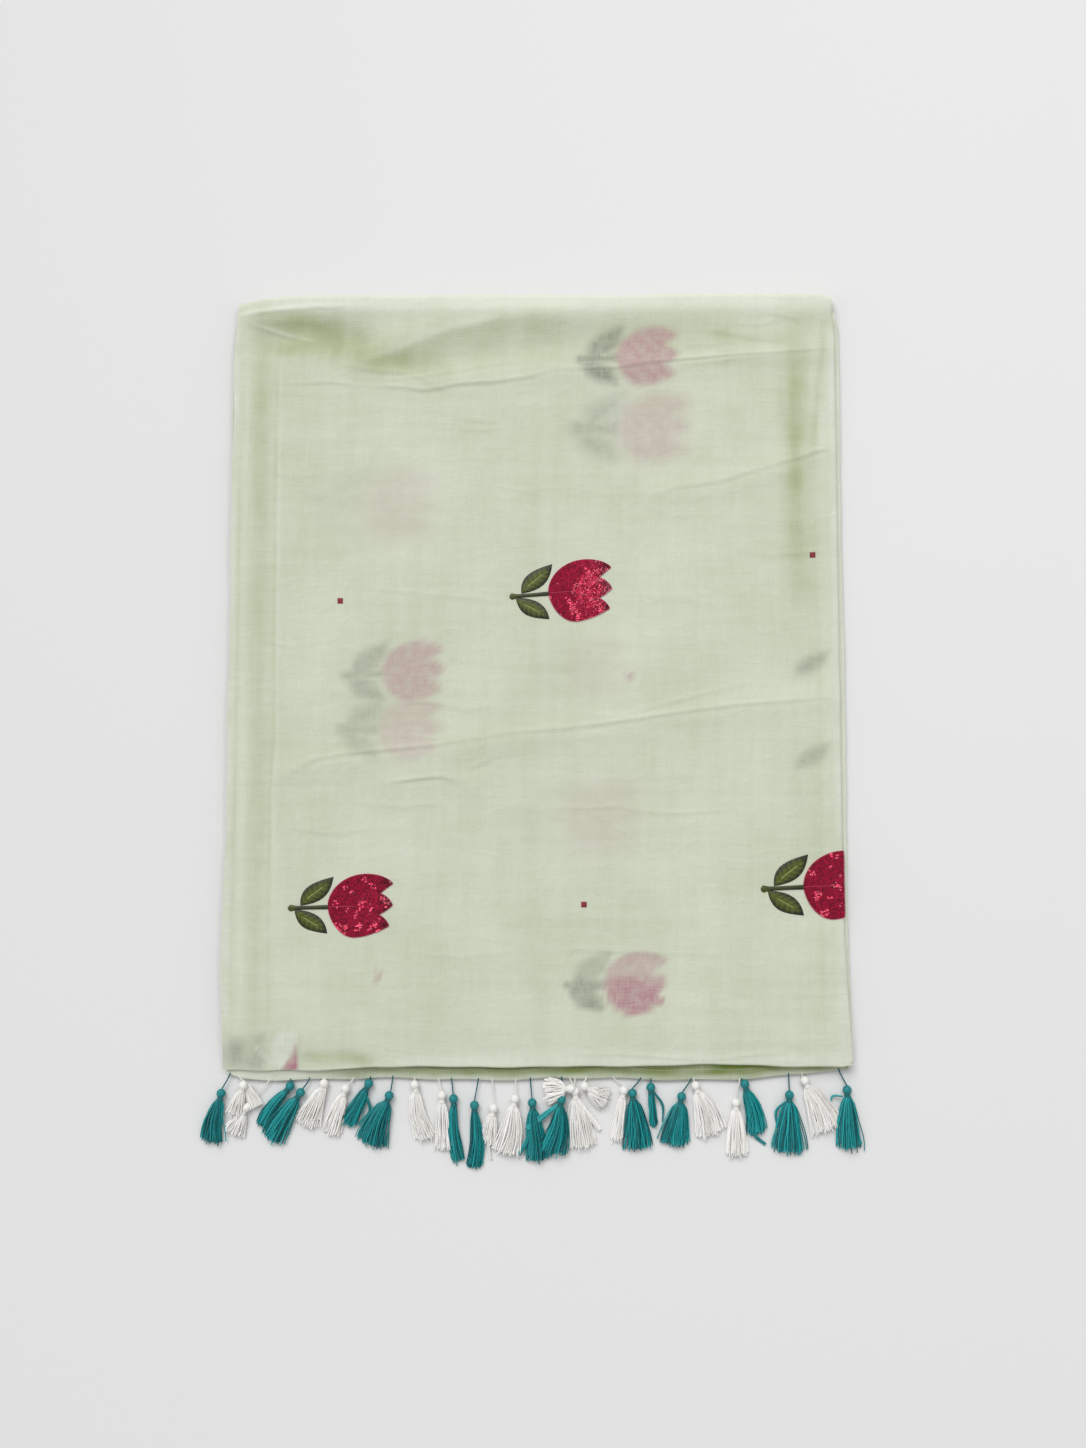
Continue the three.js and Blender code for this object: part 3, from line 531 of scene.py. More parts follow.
# %% Creases of the top layer
CREASES = [
    # height, reach, points
    (0.8, 2.4, [(-278, 333), (-245, 337), (-204, 341), (-176, 341)]),
    (0.6, 1.9, [(-264, 324), (-234, 315), (-208, 309)]),
    (0.4, 4.5, [(-161, 290), (-135, 297), (-109, 308), (-79, 320), (-40, 328), (21, 334)]),
    (0.6, 2.2, [(-178, 285), (-148, 280), (-120, 279), (-94, 266), (-80, 259)]),
    (
        0.8,
        1.8,
        [(-156, 266), (-126, 265), (-104, 262), (-72, 268), (-40, 270), (-8, 275), (21, 283)],
    ),
    (0.8, 1.7, [(18, 282), (71, 283), (98, 288), (129, 291), (175, 295), (225, 298), (271, 302)]),
    (0.5, 1.7, [(-139, 272), (-105, 275), (-60, 283), (-10, 292)]),
    (0.55, 1.8, [(126, 286), (156, 288), (184, 292), (225, 295)]),
    (0.5, 1.8, [(125, 298), (144, 304), (185, 308)]),
    (0.55, 1.9, [(156, 321), (185, 314), (214, 309), (233, 311)]),
    (0.5, 1.7, [(179, 325), (208, 324), (231, 332)]),
    (0.6, 1.8, [(212, 335), (233, 332), (246, 326)]),
    (0.5, 1.8, [(-241, 268), (-192, 270), (-156, 265)]),
    (0.5, 1.8, [(-80, 238), (-58, 234), (-36, 232)]),
    (0.4, 1.8, [(-75, 226), (-52, 224), (-30, 227)]),
    (0.7, 1.9, [(109, 163), (125, 171), (149, 174), (171, 178), (195, 186), (217, 192)]),
    (0.8, 1.8, [(212, 191), (240, 199), (256, 205), (273, 208)]),
    (0.5, 2.0, [(109, 149), (124, 147), (141, 143)]),
    (0.4, 2.2, [(-161, 78), (-100, 72), (-30, 65)]),
    (0.4, 2.0, [(73, 74), (141, 66), (180, 58)]),
    (0.75, 1.9, [(-223, -91), (-204, -79), (-180, -74), (-139, -70), (-98, -66), (-57, -60)]),
    (0.75, 1.9, [(-62, -61), (-26, -54), (20, -51), (61, -46), (120, -37), (179, -29), (268, -22)]),
    (0.45, 1.6, [(-223, -91), (-200, -78), (-180, -64), (-168, -47), (-159, -40)]),
    (0.5, 1.7, [(-131, -26), (-88, -28), (-65, -34), (-44, -32)]),
    (0.4, 1.8, [(-143, -56), (-98, -59), (-77, -61)]),
    (0.5, 1.9, [(81, -37), (120, -27), (159, -17), (201, -8)]),
    (0.95, 1.6, [(-135, -100), (-108, -96), (-87, -94), (-66, -101)]),
    (0.8, 1.6, [(-62, -87), (-50, -82), (-37, -76)]),
    (0.4, 2.0, [(-160, -118), (-120, -122), (-88, -118)]),
    (0.45, 1.8, [(20, -249), (56, -250), (110, -253), (172, -252)]),
    (0.55, 1.7, [(136, -288), (176, -287), (199, -289), (217, -296)]),
    (0.4, 2.0, [(-228, -140), (-186, -146), (-150, -142)]),
    (0.45, 1.9, [(60, -120), (118, -128), (176, -124)]),
    (0.4, 1.9, [(20, -123), (48, -123), (76, -121)]),
    (0.4, 1.9, [(-118, -252), (-70, -256), (-24, -252)]),
    (0.35, 2.2, [(-250, 30), (-224, 24), (-186, 30)]),
    (0.35, 2.2, [(-252, 188), (-226, 180), (-190, 184)]),
    (0.4, 2.2, [(170, 118), (212, 108), (262, 112)]),
    (0.35, 2.2, [(-60, 176), (-14, 168), (36, 172)]),
    (0.4, 2.2, [(-168, -318), (-60, -322), (60, -320), (190, -318)]),
    (0.5, 1.9, [(20, -342), (74, -341), (109, -344), (154, -347), (198, -341), (250, -337)]),
    (-0.8, 4.0, [(-209, -343), (-188, -344), (-167, -344), (-144, -350)]),
    (0.5, 1.9, [(-262, -338), (-249, -336), (-236, -351)]),
    (0.5, 2.0, [(-272, 290), (-274, 230), (-271, 120), (-273, -20), (-270, -150), (-273, -320)]),
    (0.45, 2.2, [(-264, 280), (-261, 60), (-263, -150), (-262, -320)]),
    (0.55, 1.7, [(-247, 291), (-247, 247), (-244, 200), (-246, 60), (-245, -32), (-248, -112)]),
    (
        0.6,
        1.7,
        [
            *[(-237, 290), (-239, 120), (-238, 30), (-237, -57)],
            *[(-240, -111), (-238, -205), (-241, -320)],
        ],
    ),
    (0.45, 2.0, [(235, 300), (232, 254), (231, 190), (233, 90)]),
    (0.55, 2.0, [(262, 320), (259, 282), (255, 239), (253, 140), (254, -60), (255, -330)]),
    (0.35, 1.7, [(190, -237), (193, -258), (194, -277)]),
    (0.35, 1.9, [(261, -225), (262, -250), (263, -300)]),
]
TROUGH_SHARE = 0.55


def crease(x, y, height, reach, points):
    """A ridge along a line less a wider trough beside it, times a sine that fades the ends."""
    distance, share = beside_line(x, y, points)
    ridge = bell(distance, reach)
    trough = TROUGH_SHARE * bell(distance + 1.8 * reach, 1.6 * reach)
    return height * (ridge - trough) * np.sqrt(np.sin(np.pi * np.clip(share, 0.001, 0.999)))


def fine_relief(x, y):
    """All creases, with the soft unevenness of cloth that has been folded and smoothed."""
    total = 0.30 * ripples(x, y, 60, 170, seed=4)
    total += 0.13 * ripples(x, y, 22, 60, seed=9, count=24)
    total += 0.05 * ripples(x, y, 9, 20, seed=15, count=30)
    for height, reach, points in CREASES:
        total += crease(x, y, height, reach, points)
    inside = ramp(x, -HALF_WIDTH, -HALF_WIDTH + 14) * (1 - ramp(x, 262, 272))
    return total * inside * ramp(y, BOTTOM_FOLD_Y, BOTTOM_FOLD_Y + 12) * (1 - ramp(y, 338, 350))


def top_height(x, y):
    """The finished height of the top layer's middle surface."""
    return plain_height(x, y) + fine_relief(x, y)

# %% [markdown]
# ## The top layer
# The cloth is one grid. Its rows run across the packet: a few lie in the part turned back
# under the lower edge, some go round that edge, most lie on top, some go round the big fold
# and the rest lie underneath. Its last columns roll down round the right-hand fold. Rows lie
# closest where the folds are deepest.

# %% Rows and columns of the outer stretch
CLOTH = 0.45
UNDER_LEVEL = 0.32
FLAT_COLUMNS = 166
ROLL_COLUMNS = 12
TOP_ROWS = 222
UNDERSIDE_ROWS = 20
FIRST_ROW_Y = -351.5
LAST_ROW_Y = 344
GATHERED_BY = 3.2
GATHERED_WITHIN = 5.5
UPRIGHT_LENGTH = 60


def evened(density, steps):
    """Places from 0 to 1 that lie closer where the density is higher: its running sum is
    read backwards, down each column of the array."""
    passed = np.cumsum(density, axis=0)
    passed = (passed - passed[0]) / (passed[-1] - passed[0])
    shares, fine = np.linspace(0, 1, steps), np.linspace(0, 1, len(density))
    return np.stack([np.interp(shares, column, fine) for column in passed.T], axis=1)


def column_shares():
    """Shares of the width: columns lie closer at both sides, where upright folds lie."""
    place = np.linspace(0, 1, 2000)[:, None]
    beside = (1 - ramp(place, 0.07, 0.11)) + ramp(place, 0.94, 0.96)
    return evened(1 + 1.1 * beside, FLAT_COLUMNS + 1)[:, 0][None, :]


def smoothed(values, reach):
    """Each value's mean over the columns beside it, that many on either side."""
    padded = np.cumsum(np.pad(values, ((0, 0), (reach + 1, reach)), mode="edge"), axis=1)
    width = 2 * reach + 1
    return (padded[:, width:] - padded[:, :-width]) / width


def gathered_rows():
    """Each column's y of every row. Rows are drawn together where the column meets a crease.
    The density is smoothed twice from column to column, so that no row bends sharply."""
    x = mix(-HALF_WIDTH, RIGHT_FOLD_X, column_shares())
    fine = mix(FIRST_ROW_Y, LAST_ROW_Y, np.linspace(0, 1, 1500))[:, None]
    density = 1 + 1.0 * bell(fine - FIRST_ROW_Y, 14) + 0.8 * bell(fine - LAST_ROW_Y, 20) + 0 * x
    for height, _, points in CREASES:
        distance, _ = beside_line(x, fine, points)
        upright = np.ptp([y for _, y in points]) > UPRIGHT_LENGTH
        if not upright:
            density += GATHERED_BY * np.sqrt(abs(height)) * bell(distance, GATHERED_WITHIN)
    density = smoothed(smoothed(density, 8), 8)
    return mix(FIRST_ROW_Y, LAST_ROW_Y, evened(density, TOP_ROWS))


def across(turn, end, left, place):
    """Points of some rows. place gives y and z for x. Past the start of the right-hand roll
    the cloth bends with an even curvature, so x grows as a sine and z falls as 1 - cosine."""
    turn = np.maximum(turn, 0.001)
    start = end - mix(RIGHT_ROLL_LENGTH, RIGHT_ROLL_RADIUS, turn)
    x = mix(left, start, column_shares())
    y, z = place(x)
    along = RIGHT_ROLL_LENGTH * np.linspace(0, 1, ROLL_COLUMNS + 1)[None, 1:]
    bend = turn / RIGHT_ROLL_RADIUS
    roll_x = start + np.sin(along * bend) / bend
    roll_z = z[:, -1:] - (1 - np.cos(along * bend)) / bend
    roll_y = np.broadcast_to(y[:, -1:], roll_x.shape)
    flat = np.stack([x, y, z], axis=-1)
    return np.concatenate([flat, np.stack([roll_x, roll_y, roll_z], axis=-1)], axis=1)


def return_rows(count=4):
    """The part turned back under the lower edge: flat, two roll radii below the top."""
    share = np.linspace(0, 1, count, endpoint=False)[:, None]

    def place(x):
        edge, radius = bottom_edge(x), lower_roll_radius(x)
        level = plain_height(x, edge) - 2 * radius
        return edge + mix(BOTTOM_RETURN, radius, share), level + 0 * share

    right = RIGHT_FOLD_X - RETURN_INSET + 0 * share
    return across(0 * share, right, left_edge(BOTTOM_FOLD_Y), place)


def bottom_roll_rows(count=9):
    """Half a turn round the lower edge."""
    share = np.linspace(0, 1, count, endpoint=False)[:, None]
    angle = np.pi * share

    def place(x):
        edge, radius = bottom_edge(x), lower_roll_radius(x)
        y = edge + radius * (1 - np.sin(angle))
        return y, plain_height(x, edge) - radius * (1 + np.cos(angle))

    end = RIGHT_FOLD_X - RETURN_INSET * (1 - ramp(share, 0, 1))
    return across(0 * share, end, left_edge(BOTTOM_FOLD_Y), place)


def top_rows():
    """The upper side, its rows moved so that the outer ones follow both edges."""
    row_y = gathered_rows()
    last_y = row_y[:, -1:]
    turn = ramp(last_y, FIRST_ROW_Y, -322) * (1 - ramp(last_y, 322, LAST_ROW_Y))
    end = mix(right_edge(last_y), TOP_ROLL_END_X, ramp(last_y, 318, LAST_ROW_Y))

    def place(x):
        low = bottom_edge(x) + lower_roll_radius(x)
        lifted = mix(low, row_y, ramp(row_y, FIRST_ROW_Y, -250))
        y = lifted + (top_edge(x) - TOP_ROLL_DEPTH - LAST_ROW_Y) * ramp(row_y, 300, LAST_ROW_Y)
        return y, top_height(x, y)

    return across(turn, end, left_edge(row_y[:, :1]), place)


def top_roll_rows(count=18):
    """Half a turn round all the layers, down to the underside."""
    share = np.linspace(0, 1, count + 1)[1:, None]
    angle = np.pi * share

    def place(x):
        start = top_edge(x) - TOP_ROLL_DEPTH
        high = top_height(x, start)
        middle = (high + UNDER_LEVEL) / 2
        bulge = TOP_ROLL_DEPTH + 0.5 * ripples(x, 0 * x, 40, 120, seed=21) * np.sin(angle)
        return start + bulge * np.sin(angle), middle + (high - middle) * np.cos(angle)

    right = mix(TOP_ROLL_END_X, UNDERSIDE_END_X, share)
    return across(0 * share, right, left_edge(TOP_FOLD_Y), place)


def underside_rows():
    """The flat underside. A few creases lift it a little off the ground."""
    row_y = np.linspace(TOP_FOLD_Y - TOP_ROLL_DEPTH, UNDERSIDE_END_Y, UNDERSIDE_ROWS + 1)[1:, None]

    def place(x):
        lift = 0.35 * np.maximum(ripples(x, row_y, 70, 200, seed=33), 0)
        for height, reach, points in UNDERSIDE_CREASES:
            distance, share = beside_line(x, row_y, points)
            lift = lift + height * bell(distance, reach) * np.sin(np.pi * share)
        inside = ramp(x, -272, -230) * (1 - ramp(x, 230, 268))
        ends = ramp(row_y, UNDERSIDE_END_Y, -300) * (1 - ramp(row_y, 300, 340))
        return row_y + 0 * x, UNDER_LEVEL + lift * inside * ends

    return across(0 * row_y, UNDERSIDE_END_X + 0 * row_y, left_edge(row_y), place)


UNDERSIDE_CREASES = [
    # height, reach, points
    (0.5, 12, [(-230, 210), (-40, 240), (170, 226)]),
    (0.5, 14, [(-120, -60), (30, -40), (240, -66)]),
    (0.45, 12, [(-210, -210), (-90, -222), (60, -206)]),
    (0.4, 12, [(40, 60), (120, 84), (236, 70)]),
]
outer_points = np.concatenate(
    [return_rows(), bottom_roll_rows(), top_rows(), top_roll_rows(), underside_rows()]
)
print("outer stretch:", outer_points.shape[:2], "points")

# %% [markdown]
# ### What shows through
# Mul is sheer. The flowers sewn on the folds below are seen as soft pink and grey patches, a
# sharper one where the flower lies just under the top layer. A patch is a number for each
# point of the cloth: one inside the flower's outline, falling to nothing across a soft edge.
# The outline itself is the one that the sewn flowers use further down.

# %% The flower's outline
STEM_LENGTH = 36
BLOOM_CURVES = [
    ((36.3, 0.3), (36.5, 14), (50, 28.3), (70.5, 28.5)),
    ((70.5, 28.5), (80, 28.4), (90, 25.5), (94.9, 19.6)),
    ((94.9, 19.6), (91, 17.2), (87, 14.3), (83, 11)),
    ((83, 11), (89, 9), (92.5, 4.5), (94.2, 0.4)),
    ((94.2, 0.4), (90.5, -3), (86, -5.8), (81.2, -7.8)),
    ((81.2, -7.8), (86, -10), (89.3, -14), (90.6, -18)),
    ((90.6, -18), (83, -22), (71, -26.8), (60.5, -27.3)),
    ((60.5, -27.3), (46, -27.8), (37, -11), (36.3, 0.3)),
]
UPPER_LEAF = [
    ((11.5, 2), (11, 18.5), (24, 22.5), (41.6, 27)),
    ((11.5, 2), (27, 4), (38, 8), (41.6, 27)),
]
LOWER_LEAF = [
    ((6, -1.5), (20, -3), (33, -7), (35.2, -23.5)),
    ((6, -1.5), (8.5, -19), (19, -20.5), (35.2, -23.5)),
]


def bloom_outline(steps=24):
    """Once round the bloom from the stem, over its three petals and back below them."""
    return np.concatenate([bezier(*curve, steps)[:-1] for curve in BLOOM_CURVES])


def leaf_outline(edges, steps=16):
    """Once round a leaf: out along its first edge and back along its second."""
    return np.concatenate([bezier(*edges[0], steps), bezier(*edges[1], steps)[-2:0:-1]])


def inside_outline(x, y, outline, soft, wider=0.0):
    """1 inside a closed outline, 0 outside, and an S across a soft edge. A point is inside
    where a line from it to the right crosses the outline an odd number of times."""
    closed = np.concatenate([outline, outline[:1]])
    odd = np.zeros(x.shape, dtype=bool)
    for (x1, y1), (x2, y2) in zip(closed[:-1], closed[1:]):
        crosses = (y1 > y) != (y2 > y)
        at = x1 + (y - y1) * (x2 - x1) / (y2 - y1 if y2 != y1 else 1.0)
        odd ^= crosses & (x < at)
    distance, _ = beside_line(x, y, closed)
    depth = np.where(odd, np.abs(distance), -np.abs(distance))
    return ramp(depth + wider, -soft, soft)


def to_flower(x, y, foot_x, foot_y, turn=0.0, scale=1.0):
    """Places on the cloth in a flower's own directions, from the foot of its stem."""
    c, s = np.cos(np.radians(turn)), np.sin(np.radians(turn))
    dx, dy = (x - foot_x) / scale, (y - foot_y) / scale
    return c * dx + s * dy, c * dy - s * dx


# %% Patches seen through the cloth
SEEN_FLOWERS = [
    # foot x, foot y, turn, scale, pink, grey, soft edge, share of them above the stem
    (36, 291, 2, 1.0, 0.54, 0.62, 4.0, 1.0),
    (30, 226, 0, 1.18, 0.29, 0.34, 8.0, 1.0),
    (-206, 158, -4, 1.2, 0.16, 0.10, 11.0, 1.0),
    (-178, -3, 3, 1.0, 0.42, 0.40, 3.2, 1.0),
    (-182, -52, 0, 1.02, 0.26, 0.32, 6.0, 1.0),
    (-22, -128, -2, 1.2, 0.15, 0.08, 11.0, 1.0),
    (-8, 4, 0, 0.95, 0.09, 0.06, 9.0, 1.0),
    (23, -279, 0, 1.0, 0.70, 0.56, 1.8, 0.58),
]
SEEN_LEAVES = [
    # foot x, foot y, turn, scale, grey, soft edge
    (222, -3, -6, 1.0, 0.40, 5.0),
    (222, -88, -4, 1.0, 0.34, 5.0),
]
LEAF_BLUR = 2.0
SEEN_DOTS = [(83.9, -3.3), (-142.2, -272.4)]
DOT_SIZE = 5


def patches(x, y):
    """How much pink and grey is seen at each place of the top layer."""
    pink = np.zeros(x.shape)
    grey = np.zeros(x.shape)
    for foot_x, foot_y, turn, scale, red, green, soft, above in SEEN_FLOWERS:
        u, v = to_flower(x, y, foot_x, foot_y, turn, scale)
        near = (np.abs(u - 46) < 75) & (np.abs(v) < 55)
        bloom = np.zeros(x.shape)
        leaves = np.zeros(x.shape)
        bloom[near] = inside_outline(u[near], v[near], bloom_outline(10), soft)
        for edges in (UPPER_LEAF, LOWER_LEAF):
            outline = leaf_outline(edges, 8)
            leaf = inside_outline(u[near], v[near], outline, soft + LEAF_BLUR, LEAF_BLUR)
            leaves[near] = np.maximum(leaves[near], leaf)
        stem = (1 - ramp(np.abs(v), 1, 3 + soft)) * ramp(u, -soft, soft) * (1 - ramp(u, 34, 40))
        strength = mix(1, above, ramp(v, 2, 4.5))
        pink = np.maximum(pink, red * bloom * strength)
        grey = np.maximum(grey, green * np.maximum(leaves, stem) * strength)
    for foot_x, foot_y, turn, scale, green, soft in SEEN_LEAVES:
        u, v = to_flower(x, y, foot_x, foot_y, turn, scale)
        near = (np.abs(u - 26) < 45) & (np.abs(v) < 50)
        leaf = np.zeros(x.shape)
        leaf[near] = inside_outline(u[near], v[near], leaf_outline(UPPER_LEAF, 8), soft)
        grey = np.maximum(grey, green * leaf)
    for dot_x, dot_y in SEEN_DOTS:
        off = np.maximum(np.abs(x - dot_x), np.abs(y - dot_y))
        pink = np.maximum(pink, 0.4 * (1 - ramp(off, 1.5, 5.5)))
    return pink, grey


# %% [markdown]
# At the bottom left corner the top layer covers only the sheer end of the sari. The ground
# shows through as a greyer patch with a straight right side, and so do a pale leaf and a
# corner of a pink flower.

# %% The sheer corner and the tone of the cloth
SHEER_CORNER = np.array([(-283, -326), (-262, -332), (-246, -326), (-243, -357), (-283, -357)])
PALE_LEAF = np.array(
    [(-238, -341), (-235, -327), (-226, -320), (-217, -321)]
    + [(-215, -328), (-220, -342), (-229, -356)]
)
PINK_CORNER = np.array([(-229, -356), (-220, -342), (-215, -333), (-213.5, -346), (-214, -356)])
PLAIN_TONE = 0.34
# Depths along hollows and below ridges are painted shade, and the negative ones along crease ridges
# and the lower fold are painted highlights. The upright bands near both sides are layers that end
# below.
TONE_AND_SHADE_LINES = [
    # depth, reach, points
    (0.52, 13, [(-250, 326), (-217, 324), (-172, 318)]),
    (0.36, 11, [(-244, 304), (-222, 301)]),
    (0.56, 17, [(-236, 312), (-190, 305), (-158, 296), (-98, 282)]),
    (0.2, 10, [(-130, 291), (-109, 300), (-79, 312), (-40, 319), (21, 324)]),
    (0.15, 13, [(-100, 290), (-40, 304), (40, 316), (137, 322)]),
    (0.12, 14, [(-90, 276), (-20, 290), (80, 305), (200, 312)]),
    (0.22, 6, [(156, 316), (190, 311), (232, 309)]),
    (0.12, 5, [(60, 279), (130, 284), (228, 290)]),
    (0.52, 11, [(238, 324), (238, 254), (237, 190), (238, 70)]),
    (0.26, 4, [(265, 326), (261, 282), (256, 239), (252, 190)]),
    (0.12, 5, [(252, 190), (253, 0), (254, -320)]),
    (-0.28, 2.2, [(-278, 334), (-245, 338), (-204, 342)]),
    (-0.24, 2.0, [(-262, 325), (-234, 316), (-208, 310)]),
    (-0.16, 3.5, [(-161, 292), (-135, 299), (-109, 310), (-79, 322), (-40, 330)]),
    (0.12, 7, [(-256, 320), (-255, 240), (-254, 130)]),
    (0.20, 9, [(-254, 345), (-255, 190), (-253, 0), (-250, -140), (-252, -340)]),
    (-0.12, 3, [(-268, 300), (-269, 0), (-266, -330)]),
    (0.16, 1.6, [(-241, 280), (-240, 60), (-239, -57), (-242, -111), (-240, -320)]),
    (-0.14, 1.6, [(-237, 290), (-237, 60), (-235, -57), (-238, -111), (-236, -205)]),
    (0.14, 1.6, [(-275, 200), (-273, 0), (-275, -300)]),
    (0.40, 5, [(-209, -344), (-188, -345), (-167, -345), (-146, -350)]),
    (0.20, 8, [(-180, -339), (-160, -341), (-140, -346)]),
    (0.06, 9, [(-12, 220), (-4, 60), (-10, -120), (4, -330)]),
    (-0.10, 5, [(-120, -347), (60, -346), (270, -346)]),
    (0.30, 1.3, [(-214, -328), (-213, -355)]),
]


def corner_seen(x, y, pink, grey):
    """Adds the sheer corner's grey, its pink corner and its pale leaf to the patches."""
    cloudy = 1 + 0.3 * ripples(x, y, 8, 30, seed=45)
    grey = np.maximum(grey, 0.36 * cloudy * inside_outline(x, y, SHEER_CORNER, 9))
    grey = grey * (1 - inside_outline(x, y, PALE_LEAF, 2))
    pink = np.maximum(pink, 0.62 * cloudy * inside_outline(x, y, PINK_CORNER, 1.2))
    white = 0.62 * inside_outline(x, y, PALE_LEAF, 2.2)
    crossing, _ = beside_line(x, y, [(-251, -337), (-235, -351)])
    white = np.maximum(white, 0.5 * bell(crossing, 1.4))
    beside = (1 - ramp(x, -279, -273)) + ramp(x, 265, 272) * (1 - ramp(y, 300, 330))
    beside *= 0.30 + 0.14 * ripples(0 * x, y, 20, 90, seed=46)
    return pink, grey, np.maximum(white, beside)


def cloth_tone_and_shade(x, y):
    """Less than the plain tone is paler and more is a deeper green. Layers that end below the top
    one leave upright bands near both sides. Along the folds the tone is painted light and shade: a
    deeper green in hollows and below ridges is painted shade, and paler lines along crease ridges
    and the lower fold are painted highlights."""
    tone = PLAIN_TONE + 0.04 * ripples(x, y, 70, 240, seed=41)
    uneven = 1 + 0.16 * ripples(x, y, 18, 60, seed=43)
    for depth, reach, points in TONE_AND_SHADE_LINES:
        distance, share = beside_line(x, y, points)
        fade = 0.42 if reach > 10 else 0.15
        ends = ramp(share, -0.7 * fade, fade) * ramp(1 - share, -0.7 * fade, fade)
        tone = tone + depth * bell(distance, reach) * uneven * ends
    # Paler in the top left corner, and paler along the lower fold from x = -120 rightwards, which
    # is a painted highlight.
    tone -= 0.30 * ramp(y, 333, 342) * ramp(x, -286, -240)
    return tone - 0.10 * ramp(-y, 334, 343) * ramp(x, -190, -120)


def running_length(points, axis, seen):
    """Length passed along the rows or the columns of a grid, in the directions that are seen."""
    steps = np.linalg.norm(np.diff(points[..., seen], axis=axis), axis=2)
    return np.insert(np.cumsum(steps, axis=axis), 0, 0, axis=axis)


def path_lengths(points):
    """Cloth coordinates: how far each point lies from the grid's left edge along its row,
    and from its first row along its column."""
    u = running_length(points, 1, [0, 1, 2])
    v = running_length(points, 0, [0, 1, 2]).mean(axis=1, keepdims=True) + 0 * u
    return np.stack([u, v], axis=-1)


def plan_lengths(points):
    """Cloth coordinates of the outer stretch, whose rows bend where they gather: lengths seen
    along y for the way across, and seen along x for the way from its first row."""
    lengths = (running_length(points, 1, [0, 2]), running_length(points, 0, [1, 2]))
    return np.stack(lengths, axis=-1)


def cloth_piece(name, grids, thickness, material, slot, stands_for, tones, plan=False, **seen):
    """Walls of cloth as one piece. Each grid has a tone, as one number or one for each point."""
    body = joined([wall(grid, thickness) for grid in grids])
    lengths = plan_lengths if plan else path_lengths
    flat = np.concatenate([twice(lengths(grid)) for grid in grids])
    spread = [twice(tone + np.zeros(grid.shape[:2])) for grid, tone in zip(grids, tones)]
    return new_piece(
        name, body, material, slot, stands_for, flat=flat, tone=np.concatenate(spread), **seen
    )



# %% The top cloth
outer_x, outer_y = outer_points[..., 0], outer_points[..., 1]
on_top = (np.arange(len(outer_points)) < len(outer_points) - UNDERSIDE_ROWS - 9)[:, None]
seen = corner_seen(outer_x, outer_y, *patches(outer_x, outer_y))
# The top's tone holds painted shade and painted highlights along its folds.
tone = np.where(on_top, cloth_tone_and_shade(outer_x, outer_y), PLAIN_TONE)
top_cloth = cloth_piece(
    "top_cloth",
    [outer_points],
    CLOTH,
    top_mul,
    "cloth",
    ("outer_stretch",),
    [tone],
    plan=True,
    **{key: twice(amount * on_top) for key, amount in zip(SEEN_COLOURS, seen)},
)

# %% [markdown]
# ## Folded edges
# Twelve plies lie between the top layer and the underside. Only their edges are seen: folds
# at the right and at the bottom, cut edges and selvedges at the left, and the ends of the
# nested turns at the top. They are thin sheets stacked between the ground layer and a roof
# just under the top layer. Heights are shares of that space, so that no sheet meets the next
# one where the space narrows.

# %% The space for the folded layers
HIDDEN_FLOOR = 1.15
PALLU_START_Y = -300
UNDER_RIGHT_ROLL = 5.0
UNDER_PALLU = 5.7
EDGE_PLY = 0.28


def below_roll(x):
    """How far the layers sink under the right-hand roll."""
    return 1.4 * ramp(x, RIGHT_FOLD_X - 28, RIGHT_FOLD_X - 6)


def roof(x, y):
    """Highest place of the hidden layers: under the top layer's hollows, its right-hand roll
    and, towards the bottom, the decorated end."""
    hollows = 1.25 * large_folds(x, y, sign=-1)
    sink_right = UNDER_RIGHT_ROLL * ramp(x, HALF_WIDTH - 34, HALF_WIDTH - 12)
    sink_right = sink_right * (1 - ramp(y, 318, 338))
    sunk = UNDER_PALLU + below_roll(x) + corner_dip(x, BOTTOM_FOLD_Y)
    sink_bottom = sunk * (1 - ramp(y, PALLU_START_Y + 4, PALLU_START_Y + 34))
    sink_left = 2.4 * (1 - ramp(x, -HALF_WIDTH, -HALF_WIDTH + 30))
    level = TOP_LEVEL - WALL / 2 - GAP - 0.8
    height = level + hollows - np.maximum(sink_right, sink_bottom) - sink_left
    return np.maximum(height, HIDDEN_FLOOR + 2.5)


def waver(along, seed):
    """An edge's uneven reach: long, middling and short waves along it, about 1 either way."""
    long_wave = ripples(along, 0 * along, 150, 420, seed, count=5)
    middle_wave = ripples(along, 0 * along, 40, 110, seed + 1, count=6)
    short_wave = ripples(along, 0 * along, 12, 30, seed + 2, count=8)
    return 0.6 * long_wave + 0.35 * middle_wave + 0.12 * short_wave


# %% Folds at the right and at the bottom
STEPS_PER_FOLD = 12
RIGHT_REACH = [281.0, 279.6, 280.8, 278.8, 279.8, 277.6]
BOTTOM_REACH = [-344.6, -343.4, -345.0, -342.6, -343.8]


def folds(seed, along, reach_of, inner, place):
    """Folds stacked on each other, as one sheet that goes to and fro. A share from 0 to
    the count runs up the stack. Within one fold the sheet goes out and back: its reach is the
    root of a sine, which gives long flat plies and a round end."""
    reaches = reach_of(along)
    count = len(reaches)
    share = np.linspace(0, count, count * STEPS_PER_FOLD + 1)[:, None]
    number = np.minimum(np.floor(share), count - 1)
    reach = np.zeros(np.broadcast(share, along).shape)
    for k, edge in enumerate(reaches):
        reach = np.where(number == k, edge + 0.9 * waver(along, seed + 5 * k), reach)
    out = np.sin(np.pi * share) ** 2
    return place(mix(inner, reach, out**0.3), along + 0 * share, share / count)


def right_place(x, y, share):
    """Puts a place of the right-hand stack at its height under the roof."""
    top = roof(np.minimum(x, 276), y)
    return np.stack([x, y, mix(HIDDEN_FLOOR, top - 0.2, share)], axis=-1)


